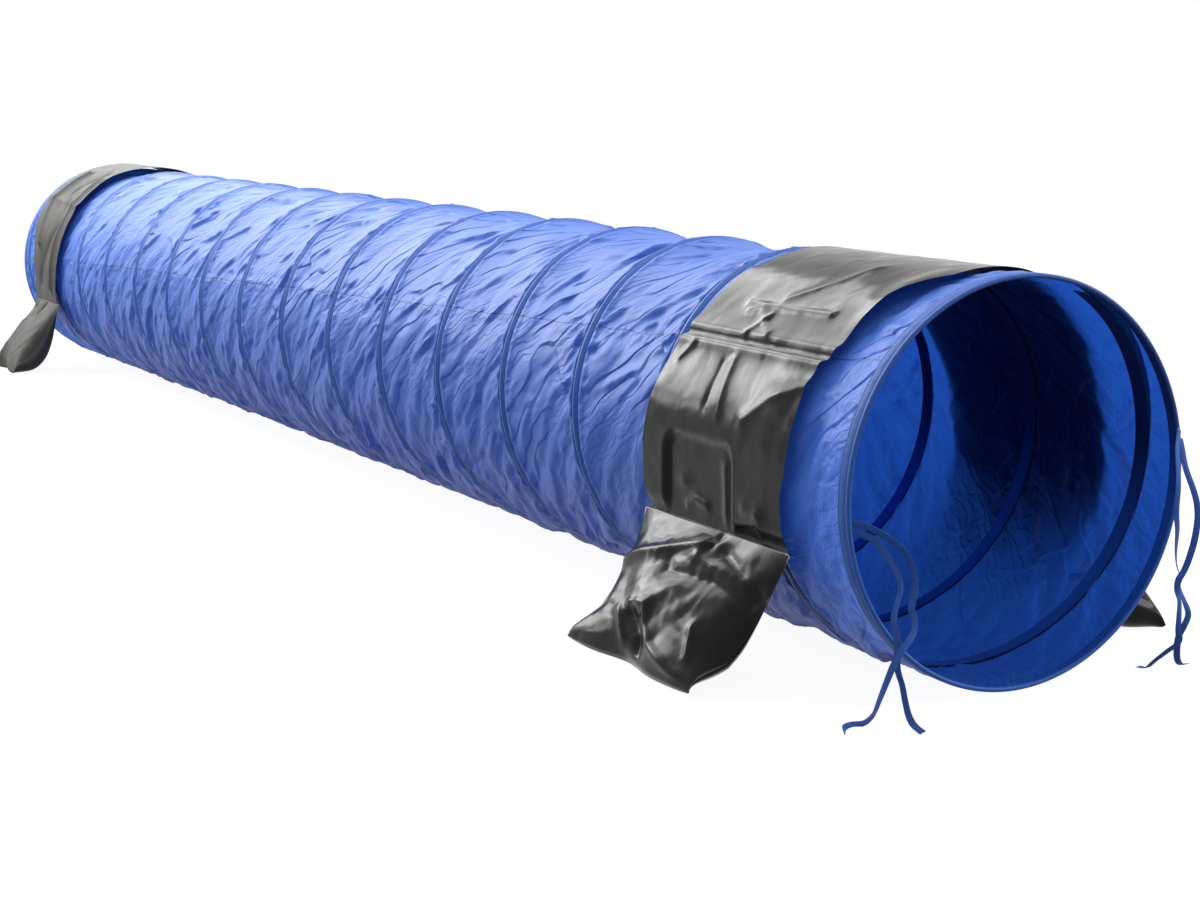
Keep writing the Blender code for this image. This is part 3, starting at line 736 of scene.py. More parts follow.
def make_ribbon(name, route, first_width, twists):
    """A flat ribbon along its route, and its middle line.

    Its width starts along first_width and turns by twists. The routes on the left already have the
    mouth's lean in them.
    """
    line = smooth_route(route, TIE_SPACING)
    if line[0, 0] > 0:
        fade = 1 - smoothstep(0.0, TIE_LEAN_LENGTH, np.arange(len(line)) * TIE_SPACING)
        line[:, 1] += (lean(line[:1])[0, 1] - line[0, 1]) * fade
    directions = np.gradient(line, axis=0)
    directions /= np.linalg.norm(directions, axis=1)[:, None]
    width = Vector(first_width)
    turned = np.radians(np.interp(np.linspace(0, 1, len(line)), *zip(*twists)))
    half, thick = TIE_WIDTH / 2, TIE_THICKNESS / 2
    # The cross-section from edge to edge over the top, as (across, up), and back below
    over = [(half, -TIE_CUP), (half * 0.93, thick - TIE_CUP * 0.8), (0, thick)]
    over += [(-across, up) for across, up in over[1::-1]]
    under = [(-half * 0.93, -thick - TIE_CUP * 0.8), (0, -thick), (half * 0.93, -thick - TIE_CUP * 0.8)]
    rings = []
    for place, forward, angle in zip(line, directions, turned):
        forward = Vector(forward)
        width = (width - forward * width.dot(forward)).normalized()
        across = Matrix.Rotation(angle, 3, forward) @ width
        normal = forward.cross(across)
        rings.append([Vector(place) + across * a + normal * b for a, b in over + under])
    points = above_floor(np.array(rings), "ribbon")
    columns = points.shape[1]
    faces = grid_faces(len(points), columns, wrap=True).tolist()
    faces.append(list(range(columns)))
    faces.append([len(points) * columns - 1 - i for i in range(columns)])
    ribbon = mesh_object(name, points, faces, closed=True)
    ribbon.data.shade_flat()
    return ribbon, line


# Saddles: each sheet has two flat coordinates, which flat() gives for the points of its creases


class Sheet:
    """A sheet laid out flat, with a lift at every point."""

    def __init__(self, place, run):
        self.place = place + 0 * run
        self.run = run + 0 * place
        self.lift = np.zeros(self.place.shape)

    def crinkle(self, height, size, rng, waves, stretch=1.0):
        """Sharp creases everywhere, stretched along the run where stretch is below 1."""
        return height * fold_noise(self.run * stretch, self.place, size, rng, waves)

    def crease(self, width, height, *points):
        """A sharp ridge along a line, or a valley where height is negative."""
        best = np.full(self.lift.shape, 1e9)
        line = [self.flat(*point) for point in points]
        for (y0, s0), (y1, s1) in zip(line, line[1:]):
            dy, ds = y1 - y0, s1 - s0
            share = ((self.place - y0) * dy + (self.run - s0) * ds) / (dy * dy + ds * ds)
            share = np.clip(share, 0, 1)
            best = np.minimum(best, np.hypot(self.place - y0 - share * dy, self.run - s0 - share * ds))
        away = np.hypot(best, CREASE_ROUNDING) - CREASE_ROUNDING
        self.lift += height * np.exp(-away / width)

    def bump(self, height, size, point):
        """A smooth swelling; size is along both flat coordinates."""
        place, run = self.flat(*point)
        away = ((self.place - place) / size[0]) ** 2 + ((self.run - run) / size[1]) ** 2
        self.lift += height * np.exp(-away)

    def dent(self, depth, half_size, corner, point):
        """A dent with an even floor and rounded corners."""
        place, run = self.flat(*point)
        beside = np.abs(self.place - place) - half_size[0] + corner
        above = np.abs(self.run - run) - half_size[1] + corner
        outside = np.hypot(np.maximum(beside, 0), np.maximum(above, 0)) - corner
        away = outside + np.minimum(np.maximum(beside, above), 0)
        self.lift -= depth * smoothstep(*DENT_EDGE, away)


# How sharp a crease's edge is, and where a dent's side starts and ends beside its outline
CREASE_ROUNDING = 0.0035
DENT_EDGE = (0.003, -0.016)
STRAP_RADIUS = RADIUS + 0.0014
STRAP_SIDE = AXIS_HEIGHT - HINGE_HEIGHT
STRAP_RUN = math.pi * STRAP_RADIUS + 2 * STRAP_SIDE
# How far a strap's end stands off, and how much lower it lies, over so much of its length
STRAP_END = {"lift": 0.0025, "length": 0.03, "drop": 0.0016, "drop_length": 0.012}


def along_strap(spot):
    """How far a spot is along a strap from its left end.

    A spot is an angle over the tube in degrees, a height on the strap's left side if it is below 1, or
    "end" for the right end.
    """
    if spot == "end":
        return STRAP_RUN
    if spot < 1:
        return spot - HINGE_HEIGHT
    return STRAP_SIDE + (math.pi - math.radians(spot)) * STRAP_RADIUS


class Strap(Sheet):
    """A saddle's strap, from left to right over the tube, between two edges of (spot, place) points."""

    def __init__(self, near_edge, far_edge, spacing):
        run = np.linspace(0, STRAP_RUN, int(STRAP_RUN / spacing) + 1)[None, :]
        across = np.linspace(0, 1, int(2 * SADDLE_HALF_WIDTH / spacing) + 1)[:, None]
        near, far = (
            np.interp(run, [along_strap(spot) for spot, _ in edge], [place for _, place in edge])
            for edge in (near_edge, far_edge)
        )
        super().__init__(near + (far - near) * across, run)

    def flat(self, place, spot):
        """The flat coordinates of a place along the tunnel and a spot along the strap."""
        return place, along_strap(spot)

    def made(self, name):
        """The strap's mesh, with its ends close to the bags."""
        from_end = np.minimum(self.run, STRAP_RUN - self.run)
        by_end = smoothstep(STRAP_END["length"], 0.0, from_end)
        lift = self.lift + (STRAP_END["lift"] - self.lift) * by_end
        on_left = np.maximum(STRAP_SIDE - self.run, 0)
        on_right = np.maximum(self.run - STRAP_SIDE - math.pi * STRAP_RADIUS, 0)
        angle = np.clip(math.pi - (self.run - STRAP_SIDE) / STRAP_RADIUS, 0, math.pi)
        points = polar_points(angle, STRAP_RADIUS + np.maximum(lift, -0.0004), self.place)
        drop = STRAP_END["drop"] * smoothstep(STRAP_END["drop_length"], 0.0, from_end)
        points[..., 2] -= on_left + on_right + drop
        return mesh_object(name, points, grid_faces(*lift.shape)[:, ::-1])


# The straps' edges towards the front and the rear: (spot, place)
FRONT_NEAR_EDGE = (
    (0.205, -2.366), (0.279, -2.354), (175.5, -2.366), (162, -2.368), (152, -2.36), (145, -2.368),
    (139, -2.389), (130, -2.385), (121, -2.391), (115, -2.414), (105, -2.437), (80, -2.41),
    (48, -2.345), (20, -2.306), ("end", -2.302),
)
FRONT_FAR_EDGE = (
    (0.205, -1.938), (0.246, -1.925), (178, -1.918), (166, -1.925), (155, -1.932), (143, -1.944),
    (131, -1.947), (119, -1.936), (110, -1.947), (70, -1.9), (33, -1.86), (6, -1.878), ("end", -1.905),
)
REAR_NEAR_EDGE = (
    (0.205, 2.062), (0.26, 2.05), (166, 2.024), (145, 2.026), (112, 2.055), (60, 2.04), ("end", 2.0),
)
REAR_FAR_EDGE = (
    (0.205, 2.318), (0.27, 2.308), (169, 2.337), (155, 2.4), (132, 2.419), (109, 2.429), (60, 2.41),
    ("end", 2.38),
)
# Creases as the photograph shows them: width, height and (place, spot) points. The front strap's first
# three are the fold across it, with a ridge on each side
FRONT_CREASES = (
    (0.005, -0.006, (-2.46, 143.6), (-1.9, 143.6)),
    (0.01, 0.0055, (-2.46, 145.88), (-1.9, 145.88)),
    (0.012, 0.004, (-2.46, 140.94), (-1.9, 140.94)),
    (0.007, 0.0035, (-2.3, 130.2), (-2.18, 130.8), (-2.06, 130.4)),
    (0.011, 0.0032, (-2.151, 127), (-2.195, 121), (-2.229, 114), (-2.248, 106)),
    (0.007, 0.003, (-2.077, 133.5), (-2.112, 132), (-2.181, 140)),
    (0.005, 0.0025, (-2.12, 141), (-2.15, 134)),
    (0.012, 0.004, (-2.37, 152), (-2.29, 158), (-2.225, 166)),
    (0.006, 0.0025, (-1.99, 147), (-1.965, 152)),
    (0.01, 0.0025, (-2.13, 150), (-2.15, 166)),
    (0.007, -0.002, (-2.1, 151), (-2.105, 163)),
    (0.009, 0.0042, (-2.18, 0.3), (-2.185, 0.205)),
    (0.006, 0.0045, (-2.12, 0.235), (-2.085, 0.24), (-2.06, 0.228)),
    (0.01, 0.003, (-2.3, 0.245), (-2.25, 0.25)),
    (0.012, 0.003, (-2.29, 0.25), (-2.3, 0.205)),
)
# Swellings of the front strap: height, size and middle
FRONT_BUMPS = (
    (0.01, (0.045, 0.085), (-2.41, 118)),
    (0.0045, (0.05, 0.04), (-2.3, 158)),
    (0.003, (0.02, 0.012), (-2.045, 0.262)),
)
REAR_CREASES = (
    (0.012, -0.015, (2.153, 112), (2.218, 131), (2.131, 147)),
    (0.014, -0.015, (2.115, 150), (2.166, 166), (2.24, 0.27)),
    (0.012, 0.012, (2.3, 115), (2.33, 140), (2.26, 166)),
    (0.014, 0.01, (2.08, 120), (2.07, 150), (2.1, 0.25)),
    (0.01, 0.005, (2.02, 141), (2.43, 137)),
)


def make_front_strap():
    """The front saddle's strap: it stands off above a dent on its left side."""
    strap = Strap(FRONT_NEAR_EDGE, FRONT_FAR_EDGE, 0.0035)
    rng = np.random.default_rng(11)
    strap.lift += 0.0022 + strap.crinkle(0.0012, 0.17, rng, 4)
    strap.lift += strap.crinkle(0.0003, 0.05, rng, 4)
    for crease in FRONT_CREASES:
        strap.crease(*crease)
    for bump in FRONT_BUMPS:
        strap.bump(*bump)
    stands_off = smoothstep(along_strap(148), along_strap(166), strap.run)
    strap.lift += 0.008 * stands_off * (strap.run < along_strap(90))
    strap.dent(0.0095, (0.112, 0.1), 0.036, (-2.1, 0.24))
    return strap.made("saddle_front_sheet")


def make_rear_strap():
    """The rear saddle's strap, bunched in folds that run over the tube."""
    strap = Strap(REAR_NEAR_EDGE, REAR_FAR_EDGE, 0.0045)
    rng = np.random.default_rng(12)
    strap.lift += 0.0065 + strap.crinkle(0.003, 0.1, rng, 4, 0.35)
    strap.lift += strap.crinkle(0.0008, 0.05, rng, 4, 0.6)
    for crease in REAR_CREASES:
        strap.crease(*crease)
    return strap.made("saddle_rear_sheet")


# A bag's upper and lower sheet from its strap down: (distance from the tunnel's middle, height)
BAG_UPPER = (
    (0.3052, 0.2064), (0.319, 0.19), (0.348, 0.156), (0.384, 0.112), (0.416, 0.07), (0.437, 0.034),
    (0.442, 0.01),
)
BAG_LOWER = (
    (0.3035, 0.204), (0.3045, 0.18), (0.308, 0.135), (0.318, 0.082), (0.338, 0.036), (0.376, 0.006),
    (0.438, 0.0015),
)
# Where the sewn edge lies from the lower to the upper sheet, from the bag's top to its bottom
BAG_SEAM = ((0, 0.7, 1), (0.45, 0.5, 0.9))
BAG_COLUMNS = 84
BAG_ROWS = 64
BAG_SPAN = 0.4
BAG_DROP = 0.26
# How far a bag's sides swell out, and the notch in its lower edge
BAG_PINCH = 0.01
BAG_NOTCH = 0.016
# Each bag's side, its (far, near) places at its top and its bottom, its seed, how blunt its side edges
# are, and its folds: width, height and points from far to near and from top to bottom, both from 0 to 1.
# Only the front left bag's folds and the rear left bag's are seen in the photograph
BAGS = {
    "saddle_front_sandbag_left": (-1, (-1.915, -2.378), (-1.916, -2.33), 31, 3.2, (
        (0.012, 0.01, (-0.05, 0.42), (0.3, 0.25), (0.6, 0.09)),
        (0.012, -0.008, (0.6, 0.09), (0.8, 0.2), (1.05, 0.32)),
        (0.014, -0.007, (0.42, 0.36), (0.72, 0.33), (0.95, 0.36)),
        (0.016, 0.007, (0.55, 0.22), (0.9, 0.25)),
        (0.009, 0.008, (0.35, 0.65), (0.47, 0.62), (0.52, 0.74), (0.62, 0.84), (0.9, 0.97)),
        (0.012, -0.01, (0.38, 0.7), (0.5, 0.8), (0.56, 0.98)),
        (0.007, 0.005, (0.28, 0.7), (0.4, 0.86)),
        (0.006, 0.004, (0.8, 0.62), (0.88, 0.8)),
        (0.006, -0.006, (0.58, -0.02), (0.58, 0.12)),
    )),
    "saddle_front_sandbag_right": (1, (-1.925, -2.3), (-1.93, -2.272), 32, 14, (
        (0.01, -0.006, (0.1, 0.3), (0.5, 0.22), (0.95, 0.3)),
    )),
    "saddle_rear_sandbag_left": (-1, (2.31, 2.03), (2.33, 2.045), 33, 8, (
        (0.012, -0.01, (0.1, 0.1), (0.45, 0.28), (0.5, 0.05)),
        (0.012, 0.006, (0.2, 0.35), (0.25, 0.95)),
    )),
    "saddle_rear_sandbag_right": (1, (2.38, 2.005), (2.37, 2.02), 34, 8, (
        (0.01, -0.006, (0.1, 0.25), (0.5, 0.3), (0.9, 0.2)),
    )),
}


def bag_profile(route):
    """BAG_ROWS points along a smooth route of (distance, height)."""
    line = smooth_route([(out, 0.0, up) for out, up in route], 0.002)
    even = np.linspace(0, len(line) - 1, BAG_ROWS)
    return np.stack([np.interp(even, np.arange(len(line)), line[:, axis]) for axis in (0, 2)], -1)


class Bag(Sheet):
    """A sandbag: two sheets sewn at their edges, the upper one with its wrinkles."""

    def __init__(self, side, top, bottom, seed, bluntness):
        self.u = np.linspace(0, 1, BAG_COLUMNS)[:, None]
        self.v = np.linspace(0, 1, BAG_ROWS)[None, :]
        super().__init__(self.u * BAG_SPAN, self.v * BAG_DROP)
        self.side, self.top, self.bottom, self.bluntness = side, top, bottom, bluntness
        rng = np.random.default_rng(seed)
        from_top = np.sin(np.pi * np.clip(self.v * 1.04, 0, 1)) ** 0.5
        self.full = (1 - np.abs(2 * self.u - 1) ** 5) ** 0.6 * from_top
        self.lift += 0.0045 * fold_noise(self.place, self.run, 0.1, rng, 5) * self.full
        self.lift += 0.0012 * fold_noise(self.place, self.run, 0.035, rng, 5) * self.full

    def flat(self, u, v):
        """The flat coordinates of a point given as shares of the bag's span and drop."""
        return u * BAG_SPAN, v * BAG_DROP

    def made(self, name):
        """The closed mesh."""
        upper, lower = bag_profile(BAG_UPPER), bag_profile(BAG_LOWER)
        seam = lower + (upper - lower) * np.interp(self.v[0], *BAG_SEAM)[:, None]
        swell = (1 - np.abs(2 * self.u - 1) ** self.bluntness)[..., None] ** 0.65
        slope = np.gradient(upper, axis=0)
        slope /= np.linalg.norm(slope, axis=1)[:, None]
        normal = np.stack([-slope[:, 1], slope[:, 0]], -1)
        wrinkles = (self.lift * np.minimum(self.full * 2, 1))[..., None] * normal
        face = seam + (upper - seam) * swell + wrinkles
        back = seam + (lower - seam) * swell
        far, near = (self.top[i] + (self.bottom[i] - self.top[i]) * self.v for i in (0, 1))
        pinch = BAG_PINCH * np.sin(np.pi * self.v) ** 0.7
        place = far - pinch + (near - far + 2 * pinch) * self.u
        notch = BAG_NOTCH * bell(self.u, 0.42, 0.17) * self.v**6
        sheets = []
        for sheet in (face, back):
            out = self.side * (sheet[..., 0] - notch)
            sheets.append(above_floor(np.stack([out, place, sheet[..., 1]], -1).reshape(-1, 3), "bag"))
        count = BAG_COLUMNS * BAG_ROWS
        index = np.arange(count).reshape(BAG_COLUMNS, BAG_ROWS)
        faces = grid_faces(BAG_COLUMNS, BAG_ROWS)
        faces = faces.tolist() + (faces[:, ::-1] + count).tolist()
        rim = [index[:, 0], index[-1, 1:], index[-2::-1, -1], index[0, -2:0:-1]]
        rim = np.concatenate(rim).tolist()
        for first, second in zip(rim, rim[1:] + rim[:1]):
            faces.append([first, second, second + count, first + count])
        return mesh_object(name, np.concatenate(sheets), faces, closed=True)


def make_bag(name):
    """The sandbag of that name."""
    *form, folds = BAGS[name]
    bag = Bag(*form)
    for fold in folds:
        bag.crease(*fold)
    if name == "saddle_front_sandbag_left":
        bag.bump(0.008, (0.09, 0.05), (0.45, 0.5))
    return bag.made(name)


# Materials: a graph holds the nodes, and arithmetic with their values adds Math nodes


class Value:
    """One output of a node."""

    def __init__(self, graph, socket):
        self.graph, self.socket = graph, socket

    def math(self, operation, other=0.0):
        """A Math node's result, with this value first."""
        return self.graph.math(operation, self, other)

    def __abs__(self):
        return self.math("ABSOLUTE")

    def __add__(self, other):
        return self.math("ADD", other)

    def __sub__(self, other):
        return self.math("SUBTRACT", other)

    def __rsub__(self, other):
        return self.graph.math("SUBTRACT", other, self)

    def __mul__(self, other):
        return self.math("MULTIPLY", other)

    def most(self, other):
        """The larger of both."""
        return self.math("MAXIMUM", other)

    def axis(self, name):
        """One coordinate of a place."""
        return self.graph.node("SeparateXYZ", {0: self}, name)

    def step(self, start, end):
        """0 at start, 1 at end and smooth between; end may be the lower one."""
        inputs = {"Value": self, "From Min": start, "From Max": end}
        return self.graph.node("MapRange", inputs, "Result", interpolation_type="SMOOTHSTEP")


class Graph:
    """The nodes of a material or world, which start empty."""

    def __init__(self, holder):
        self.holder = holder
        holder.use_nodes = True
        self.tree = holder.node_tree
        self.tree.nodes.clear()

    def node(self, kind, inputs=None, output=0, **settings):
        """A node's output, for inputs that are plain or Values."""
        made = self.tree.nodes.new("ShaderNode" + kind)
        for key, value in settings.items():
            setattr(made, key, value)
        for key, value in (inputs or {}).items():
            if isinstance(value, Value):
                self.tree.links.new(value.socket, made.inputs[key])
            else:
                made.inputs[key].default_value = value
        return Value(self, made.outputs[output]) if len(made.outputs) else None

    def math(self, operation, first, second):
        """A Math node's result."""
        return self.node("Math", {0: first, 1: second}, operation=operation)

    def place(self):
        """The place on the object, in its own coordinates."""
        return self.node("TexCoord", output="Object")

    def uv(self, name):
        """The place in one of the UV layers."""
        return self.node("UVMap", output="UV", uv_map=name)

    def noise(self, source, scale, detail=2.0, distortion=0.0):
        """Smooth noise from about 0.3 to 0.7."""
        inputs = {"Vector": source, "Scale": scale, "Detail": detail, "Distortion": distortion}
        return self.node("TexNoise", inputs, "Fac")

    def mix(self, factor, first, second):
        """Two colours mixed, first where the factor is 0."""
        inputs = {0: factor, 6: first, 7: second}
        inputs = {key: (*c, 1.0) if isinstance(c, tuple) else c for key, c in inputs.items()}
        return self.node("Mix", inputs, 2, data_type="RGBA")

    def bump(self, height, strength):
        """The normals of a surface with a height."""
        return self.node("Bump", {"Height": height, "Distance": 1.0, "Strength": strength})

    def surface(self, base, roughness, inputs):
        """The Principled shader."""
        return self.node("BsdfPrincipled", {"Base Color": base, "Roughness": roughness, **inputs})

    def finish(self, surface, kind="OutputMaterial"):
        """The material or world, with its output."""
        self.node(kind, {"Surface": surface})
        return self.holder


def new_graph(name):
    """The graph of a new material."""
    return Graph(bpy.data.materials.new(name))


def shade(colour, share):
    """A colour made lighter or darker."""
    return tuple(channel * share for channel in colour)


def crumple(place, size):
    """A height of crumpled cloth: flat facets of a size with sharp edges."""
    graph = place.graph
    warp = graph.node("TexNoise", {"Vector": place, "Scale": 0.6 / size, "Detail": 2.0}, "Color")
    push = graph.node("VectorMath", {0: warp, 1: (size * 1.5,) * 3}, operation="MULTIPLY")
    moved = graph.node("VectorMath", {0: place, 1: push}, operation="ADD")
    return graph.node("TexVoronoi", {"Vector": moved, "Scale": 1 / size}, "Distance", feature="F1")


def slanted(source, degrees, width, length):
    """Coordinates turned in their plane and divided by two sizes, for a slanting, stretched pattern."""
    graph = source.graph
    inputs = {"Vector": source, "Angle": math.radians(degrees)}
    turned = graph.node("VectorRotate", inputs, rotation_type="Z_AXIS")
    return graph.node("VectorMath", {0: turned, 1: (1 / width, 1 / length, 1.0)}, operation="MULTIPLY")


def pleats(source, degrees, spacing, length, steepness):
    """Slanting folds of irregular spacing, each rising gently and then falling steeply, from 0 to 1."""
    wander = source.graph.noise(slanted(source, degrees, spacing * 2.2, length), 1.0)
    rise = (slanted(source, degrees, spacing, length).axis("X") + wander * 3.2).math("FRACT")
    return rise.math("MINIMUM", (1 - rise) * steepness)


def stitches(off, along, spacing, half_width):
    """A row of stitches: off is the distance from its line."""
    dash = along.math("PINGPONG", spacing).step(spacing * 0.15, spacing * 0.4)
    return off.step(half_width, half_width * 0.4) * dash


def cloth_material(name, colour, painted_shade_inside_colour, passed_colour, taped_colour, thread_colour):
    """Crinkled polyester that lets light through, except where its tape is sewn on. Its inside face has
    painted shade: a much darker copy of its colour.
    """
    graph = new_graph(name)
    place, flat, wire = graph.place(), graph.uv("cloth"), graph.uv("wire")
    turns = wire.axis("Y").math("DIVIDE", PITCH)
    off = abs(turns - turns.math("ROUND")) * PITCH
    puffed = graph.noise(place, 26.0) * 0.022 - 0.013
    band = (off + puffed.most(0.0)).step(0.014, 0.0126)
    seam_middle = (SEAM_ANGLE + math.pi / 2) * RADIUS
    seam_off = abs(flat.axis("X") - seam_middle - flat.axis("Y") * (SEAM_TURN * RADIUS))
    seam_line = seam_off.step(0.0016, 0.0005)

    patches = graph.noise(place, 9.0, 4.0) * 0.6 + graph.noise(place, 60.0, 3.0) * 0.4
    outside = graph.mix(patches.step(0.38, 0.62), shade(colour, 0.92), shade(colour, 1.07))
    back = graph.node("NewGeometry", output="Backfacing")
    # Painted shade: the inside face takes a much darker colour, standing in for the shade inside the tunnel.
    base = graph.mix(back, outside, painted_shade_inside_colour)

    # Broad and fine folds take turns between the wires; small ones gather by wires, seam and mouths
    where = graph.noise(place, 6.0, 1.0).step(0.4, 0.66)
    broad = pleats(flat, 41.0, 0.052, 0.2, 5.0) * where
    fine = pleats(flat, 34.0, 0.017, 0.06, 4.0) * (1 - where)
    soft = graph.noise(slanted(flat, 41.0, 0.03, 0.08), 1.0, 3.0)
    mouth = abs(flat.axis("Y")).step(2.3, 2.42)
    gathered = seam_off.step(0.024, 0.004).most(off.step(0.045, 0.012)).most(mouth * 0.7)
    height = (broad * 0.0058 + fine * 0.0014) * off.step(0.012, 0.024) + soft * 0.0022
    height = (height + crumple(place, 0.016) * gathered * 0.0028) * (1 - band * 0.85)

    stitch_off = abs(off - STITCH_OFFSET)
    height = height - stitch_off.step(0.0022, 0.0004) * 0.0012 - seam_line * 0.0004
    sewn = stitches(stitch_off, wire.axis("X"), 0.002, 0.0009)
    seam = stitches(seam_off, flat.axis("Y"), 0.0022, 0.002)
    base = graph.mix(band * 0.9, base, taped_colour)
    base = graph.mix(sewn * 0.6, base, thread_colour)
    base = graph.mix(seam * 0.85, base, thread_colour)

    bump = graph.bump(height, back * 0.9 + 0.8)
    gloss = {"Specular IOR Level": band * -0.1 + 0.24, "Sheen Weight": 0.03, "Sheen Roughness": 0.4}
    shader = graph.surface(base, 0.45, {**gloss, "Normal": bump})
    glow = graph.node("BsdfTranslucent", {"Color": (*passed_colour, 1.0), "Normal": bump})
    passed = (1 - (band * 0.97).most(seam_line * 0.6)) * 0.25
    return graph.finish(graph.node("MixShader", {0: passed, 1: shader, 2: glow}))


def hem_material(name, colour):
    """The hem's doubled cloth with its two rows of stitches. Its inside face has painted shade, much darker
    towards the top and a little lighter low down.
    """
    graph = new_graph(name)
    place, along, across = graph.place(), graph.uv("hem").axis("X"), graph.uv("hem").axis("Y")
    base = graph.mix(graph.noise(place, 90.0, 4.0), shade(colour, 0.86), shade(colour, 1.14))
    # Painted shade on the inside face: a little lighter low down, much darker towards the top.
    inner = graph.mix(place.axis("Z").step(0.22, 0.42), shade(colour, 1.1), shade(colour, 0.3))
    base = graph.mix(across.step(0.0005, -0.0005), base, inner)
    height = crumple(place, 0.012) * 0.0008
    for row in HEM_STITCHES:
        stitch = stitches(abs(abs(across) - row), along, 0.002, 0.0009)
        base = graph.mix(stitch * 0.6, base, shade(colour, 0.35))
        height = height + stitch * 0.0004
    inputs = {"Specular IOR Level": 0.4, "Normal": graph.bump(height, 0.7)}
    return graph.finish(graph.surface(base, 0.6, inputs))


def tape_material(name, colour, roughness, painted_light_low_colour=None):
    """A plain woven tape. Where a low colour is given, it is painted lighter towards the floor, as painted
    light.
    """
    graph = new_graph(name)
    place = graph.place()
    noise = graph.noise(place, 220.0, 3.0)
    base = graph.mix(noise, shade(colour, 0.75), shade(colour, 1.25))
    if painted_light_low_colour:
        # Painted light: the tape goes over to the lighter low colour towards the floor.
        base = graph.mix(place.axis("Z").step(0.1, 0.36), painted_light_low_colour, base)
    inputs = {"Specular IOR Level": 0.25, "Normal": graph.bump(noise * 0.0004, 0.6)}
    return graph.finish(graph.surface(base, roughness, inputs))


def vinyl_material(name, colour, rear_painted_light_colour, roughness):
    """Black vinyl with faint scuffs and a fine crinkle, glossy in front; towards the rear it is rougher and
    painted a lighter grey, as painted light.
    """
    graph = new_graph(name)
    place = graph.place()
    scuff = graph.noise(place, 30.0, 6.0)
    scuffed = {"From Min": 0.3, "From Max": 0.75, "To Min": roughness * 0.8, "To Max": roughness * 1.5}
    rough = graph.node("MapRange", {"Value": scuff, **scuffed}, "Result")
    # Towards the rear: rougher, and a lighter grey colour that is painted light on the same black vinyl.
    rear_dull_and_painted_light = place.axis("Y").step(1.0, 1.5)
    base = graph.mix(rear_dull_and_painted_light, graph.mix(scuff, colour, shade(colour, 1.5)), rear_painted_light_colour)
    height = graph.noise(place, 13.0, 1.0, 0.4) * 0.0042 + crumple(place, 0.018) * 0.00016
    inputs = {"IOR": 1.2, "Normal": graph.bump(height, 0.6)}
    return graph.finish(graph.surface(base, rear_dull_and_painted_light * 0.34 + rough, inputs))


def metal_material(name, colour, roughness):
    """Drawn steel wire."""
    graph = new_graph(name)
    base = graph.mix(graph.noise(graph.place(), 150.0, 3.0), shade(colour, 0.8), colour)
    return graph.finish(graph.surface(base, roughness, {"Metallic": 1.0}))


# Surroundings


def shown_white(graph):
    """1 for rays that see the background straight, in a reflection or through glass."""
    straight = graph.node("LightPath", output="Is Camera Ray")
    mirrored = graph.node("LightPath", output="Is Glossy Ray")
    return straight.most(mirrored).most(graph.node("LightPath", output="Is Transmission Ray"))


def make_world(strength):
    """Even white light, and a white background."""
    bpy.context.scene.world = bpy.data.worlds.new("world")
    graph = Graph(bpy.context.scene.world)
    even = graph.node("Background", {"Color": (1, 1, 1, 1), "Strength": strength})
    white = graph.node("Background", {"Color": (1, 1, 1, 1), "Strength": 1.0})
    graph.finish(graph.node("MixShader", {0: shown_white(graph), 1: even, 2: white}), "OutputWorld")


def make_floor():
    """A pale floor that keeps the object's shadow and goes over into the white background."""
    size = 40.0
    corners = [(-size, -size, 0), (size, -size, 0), (size, size, 0), (-size, size, 0)]
    floor = mesh_object("floor", corners, [(0, 1, 2, 3)])
    graph = new_graph("floor")
    matt = graph.node("BsdfDiffuse", {"Color": (0.15, 0.15, 0.15, 1)})
    bright = graph.node("Emission", {"Color": (1, 1, 1, 1), "Strength": 0.94})
    both = graph.node("AddShader", {0: matt, 1: bright})
    mix = graph.node("MixShader", {0: shown_white(graph), 1: matt, 2: both})
    floor.data.materials.append(graph.finish(mix))


def placed(name, data, place, direction):
    """A lamp or camera at a place, looking along a direction."""
    made = bpy.data.objects.new(name, data)
    bpy.context.scene.collection.objects.link(made)
    made.location = place
    made.rotation_euler = Vector(direction).to_track_quat("-Z", "Y").to_euler()
    return made


def make_lamp(name, place, target, size, power):
    """A soft square lamp."""
    data = bpy.data.lights.new(name, "AREA")
    data.size = size
    data.energy = power
    placed(name, data, place, Vector(target) - Vector(place))


def make_camera():
    """The photograph's camera."""
    data = bpy.data.cameras.new("camera")
    data.sensor_width = 36
    data.lens = CAMERA_LENS
    data.shift_x, data.shift_y = CAMERA_SHIFT
    bpy.context.scene.camera = placed("camera", data, CAMERA_PLACE, CAMERA_AIM)


def dress(piece, finish, body, slot, nodes):
    """Gives a piece its material and the body it moves with, and hides the parts of the nodes it stands for.
    Its slot is not used.
    """
    piece.data.materials.append(finish)
    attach(piece, body)
    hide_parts(*nodes)


make_camera()

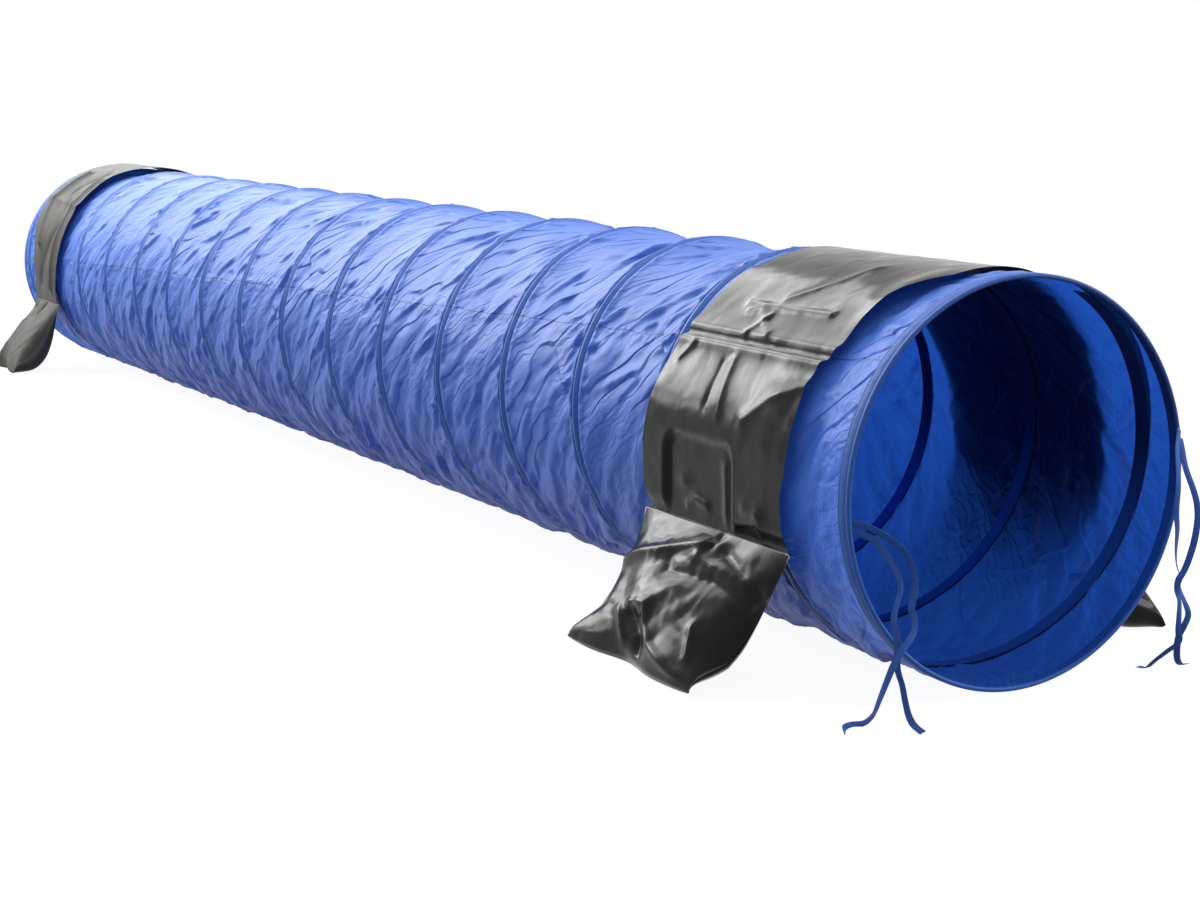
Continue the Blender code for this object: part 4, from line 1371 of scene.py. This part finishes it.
CLOTH = cloth_material(
    "cloth",
    colour=(0.112, 0.255, 0.82),
    # The inside colour is painted shade, a much darker copy of the cloth's own colour.
    painted_shade_inside_colour=(0.004, 0.014, 0.1),
    passed_colour=(0.026, 0.16, 0.9),
    taped_colour=(0.01, 0.09, 0.42),
    thread_colour=(0.008, 0.03, 0.16),
)
HEM = hem_material("hem", (0.02, 0.112, 0.48))
# The tape's last colour is painted light for its stretch along the floor.
TAPE = tape_material("tape", (0.003, 0.012, 0.085), 0.7, (0.02, 0.125, 0.52))
RIBBON = tape_material("ribbon", (0.035, 0.11, 0.43), 0.65)
# The second colour, for the rear, is painted light: a lighter grey for the same black vinyl.
VINYL = vinyl_material("vinyl", (0.008, 0.008, 0.008), (0.078, 0.077, 0.072), 0.17)
STEEL = metal_material("steel", (0.55, 0.55, 0.56), 0.35)

for tie_name, tie_route in TIE_ROUTES.items():
    ribbon, tie_line = make_ribbon(f"{tie_name}_ribbon", tie_route, *RIBBON_TURNS[tie_name])
    dress(ribbon, RIBBON, "front_end", "ribbon", [tie_name])
    tie_length = float(np.linalg.norm(np.diff(tie_line, axis=0), axis=1).sum())

skin, casing, wire = make_skin(), make_casing(), make_wire()
for piece, finish, slot in ((skin, CLOTH, "skin"), (casing, TAPE, "casing"), (wire, STEEL, "wire")):
    dress(piece, finish, "section_01", slot, [f"{slot}_section_{number:02d}" for number in range(1, 9)])
    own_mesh(piece)

for mouth in ("front", "rear"):
    hem = make_hem(f"{mouth}_hem", mouth == "front")
    dress(hem, HEM, f"{mouth}_end", "hem", [f"hem_{mouth}", f"hoop_{mouth}"])

for saddle, maker in (("saddle_front", make_front_strap), ("saddle_rear", make_rear_strap)):
    sheet = maker()
    dress(sheet, VINYL, saddle, "vinyl", [f"{saddle}_strap"])

for saddle in ("saddle_front", "saddle_rear"):
    for side_name in ("left", "right"):
        bag = make_bag(f"{saddle}_sandbag_{side_name}")
        nodes = [f"{saddle}_{kind}_{side_name}" for kind in ("bag", "sand", "closure")]
        dress(bag, VINYL, f"{saddle}_{side_name}", "vinyl", nodes)

make_world(0.5)
make_floor()
make_lamp("overhead", (0.2, -0.4, 4.4), (0, -0.4, 0), 3.0, 88)
make_lamp("back", (-0.6, 4.8, 3.5), (-0.2, -1.8, 0.4), 4.6, 290)
make_lamp("glint", (-3.5, 4.2, 1.5), (-0.3, -2.2, 0.3), 0.7, 12)
make_lamp("key", (-2.5, 4.0, 2.8), (-0.3, -2.2, 0.2), 2.0, 100)
make_lamp("right", (3.4, -3.4, 1.8), (0.3, -2.2, 0.3), 2.0, 90)
bpy.context.scene.view_settings.view_transform = "Standard"
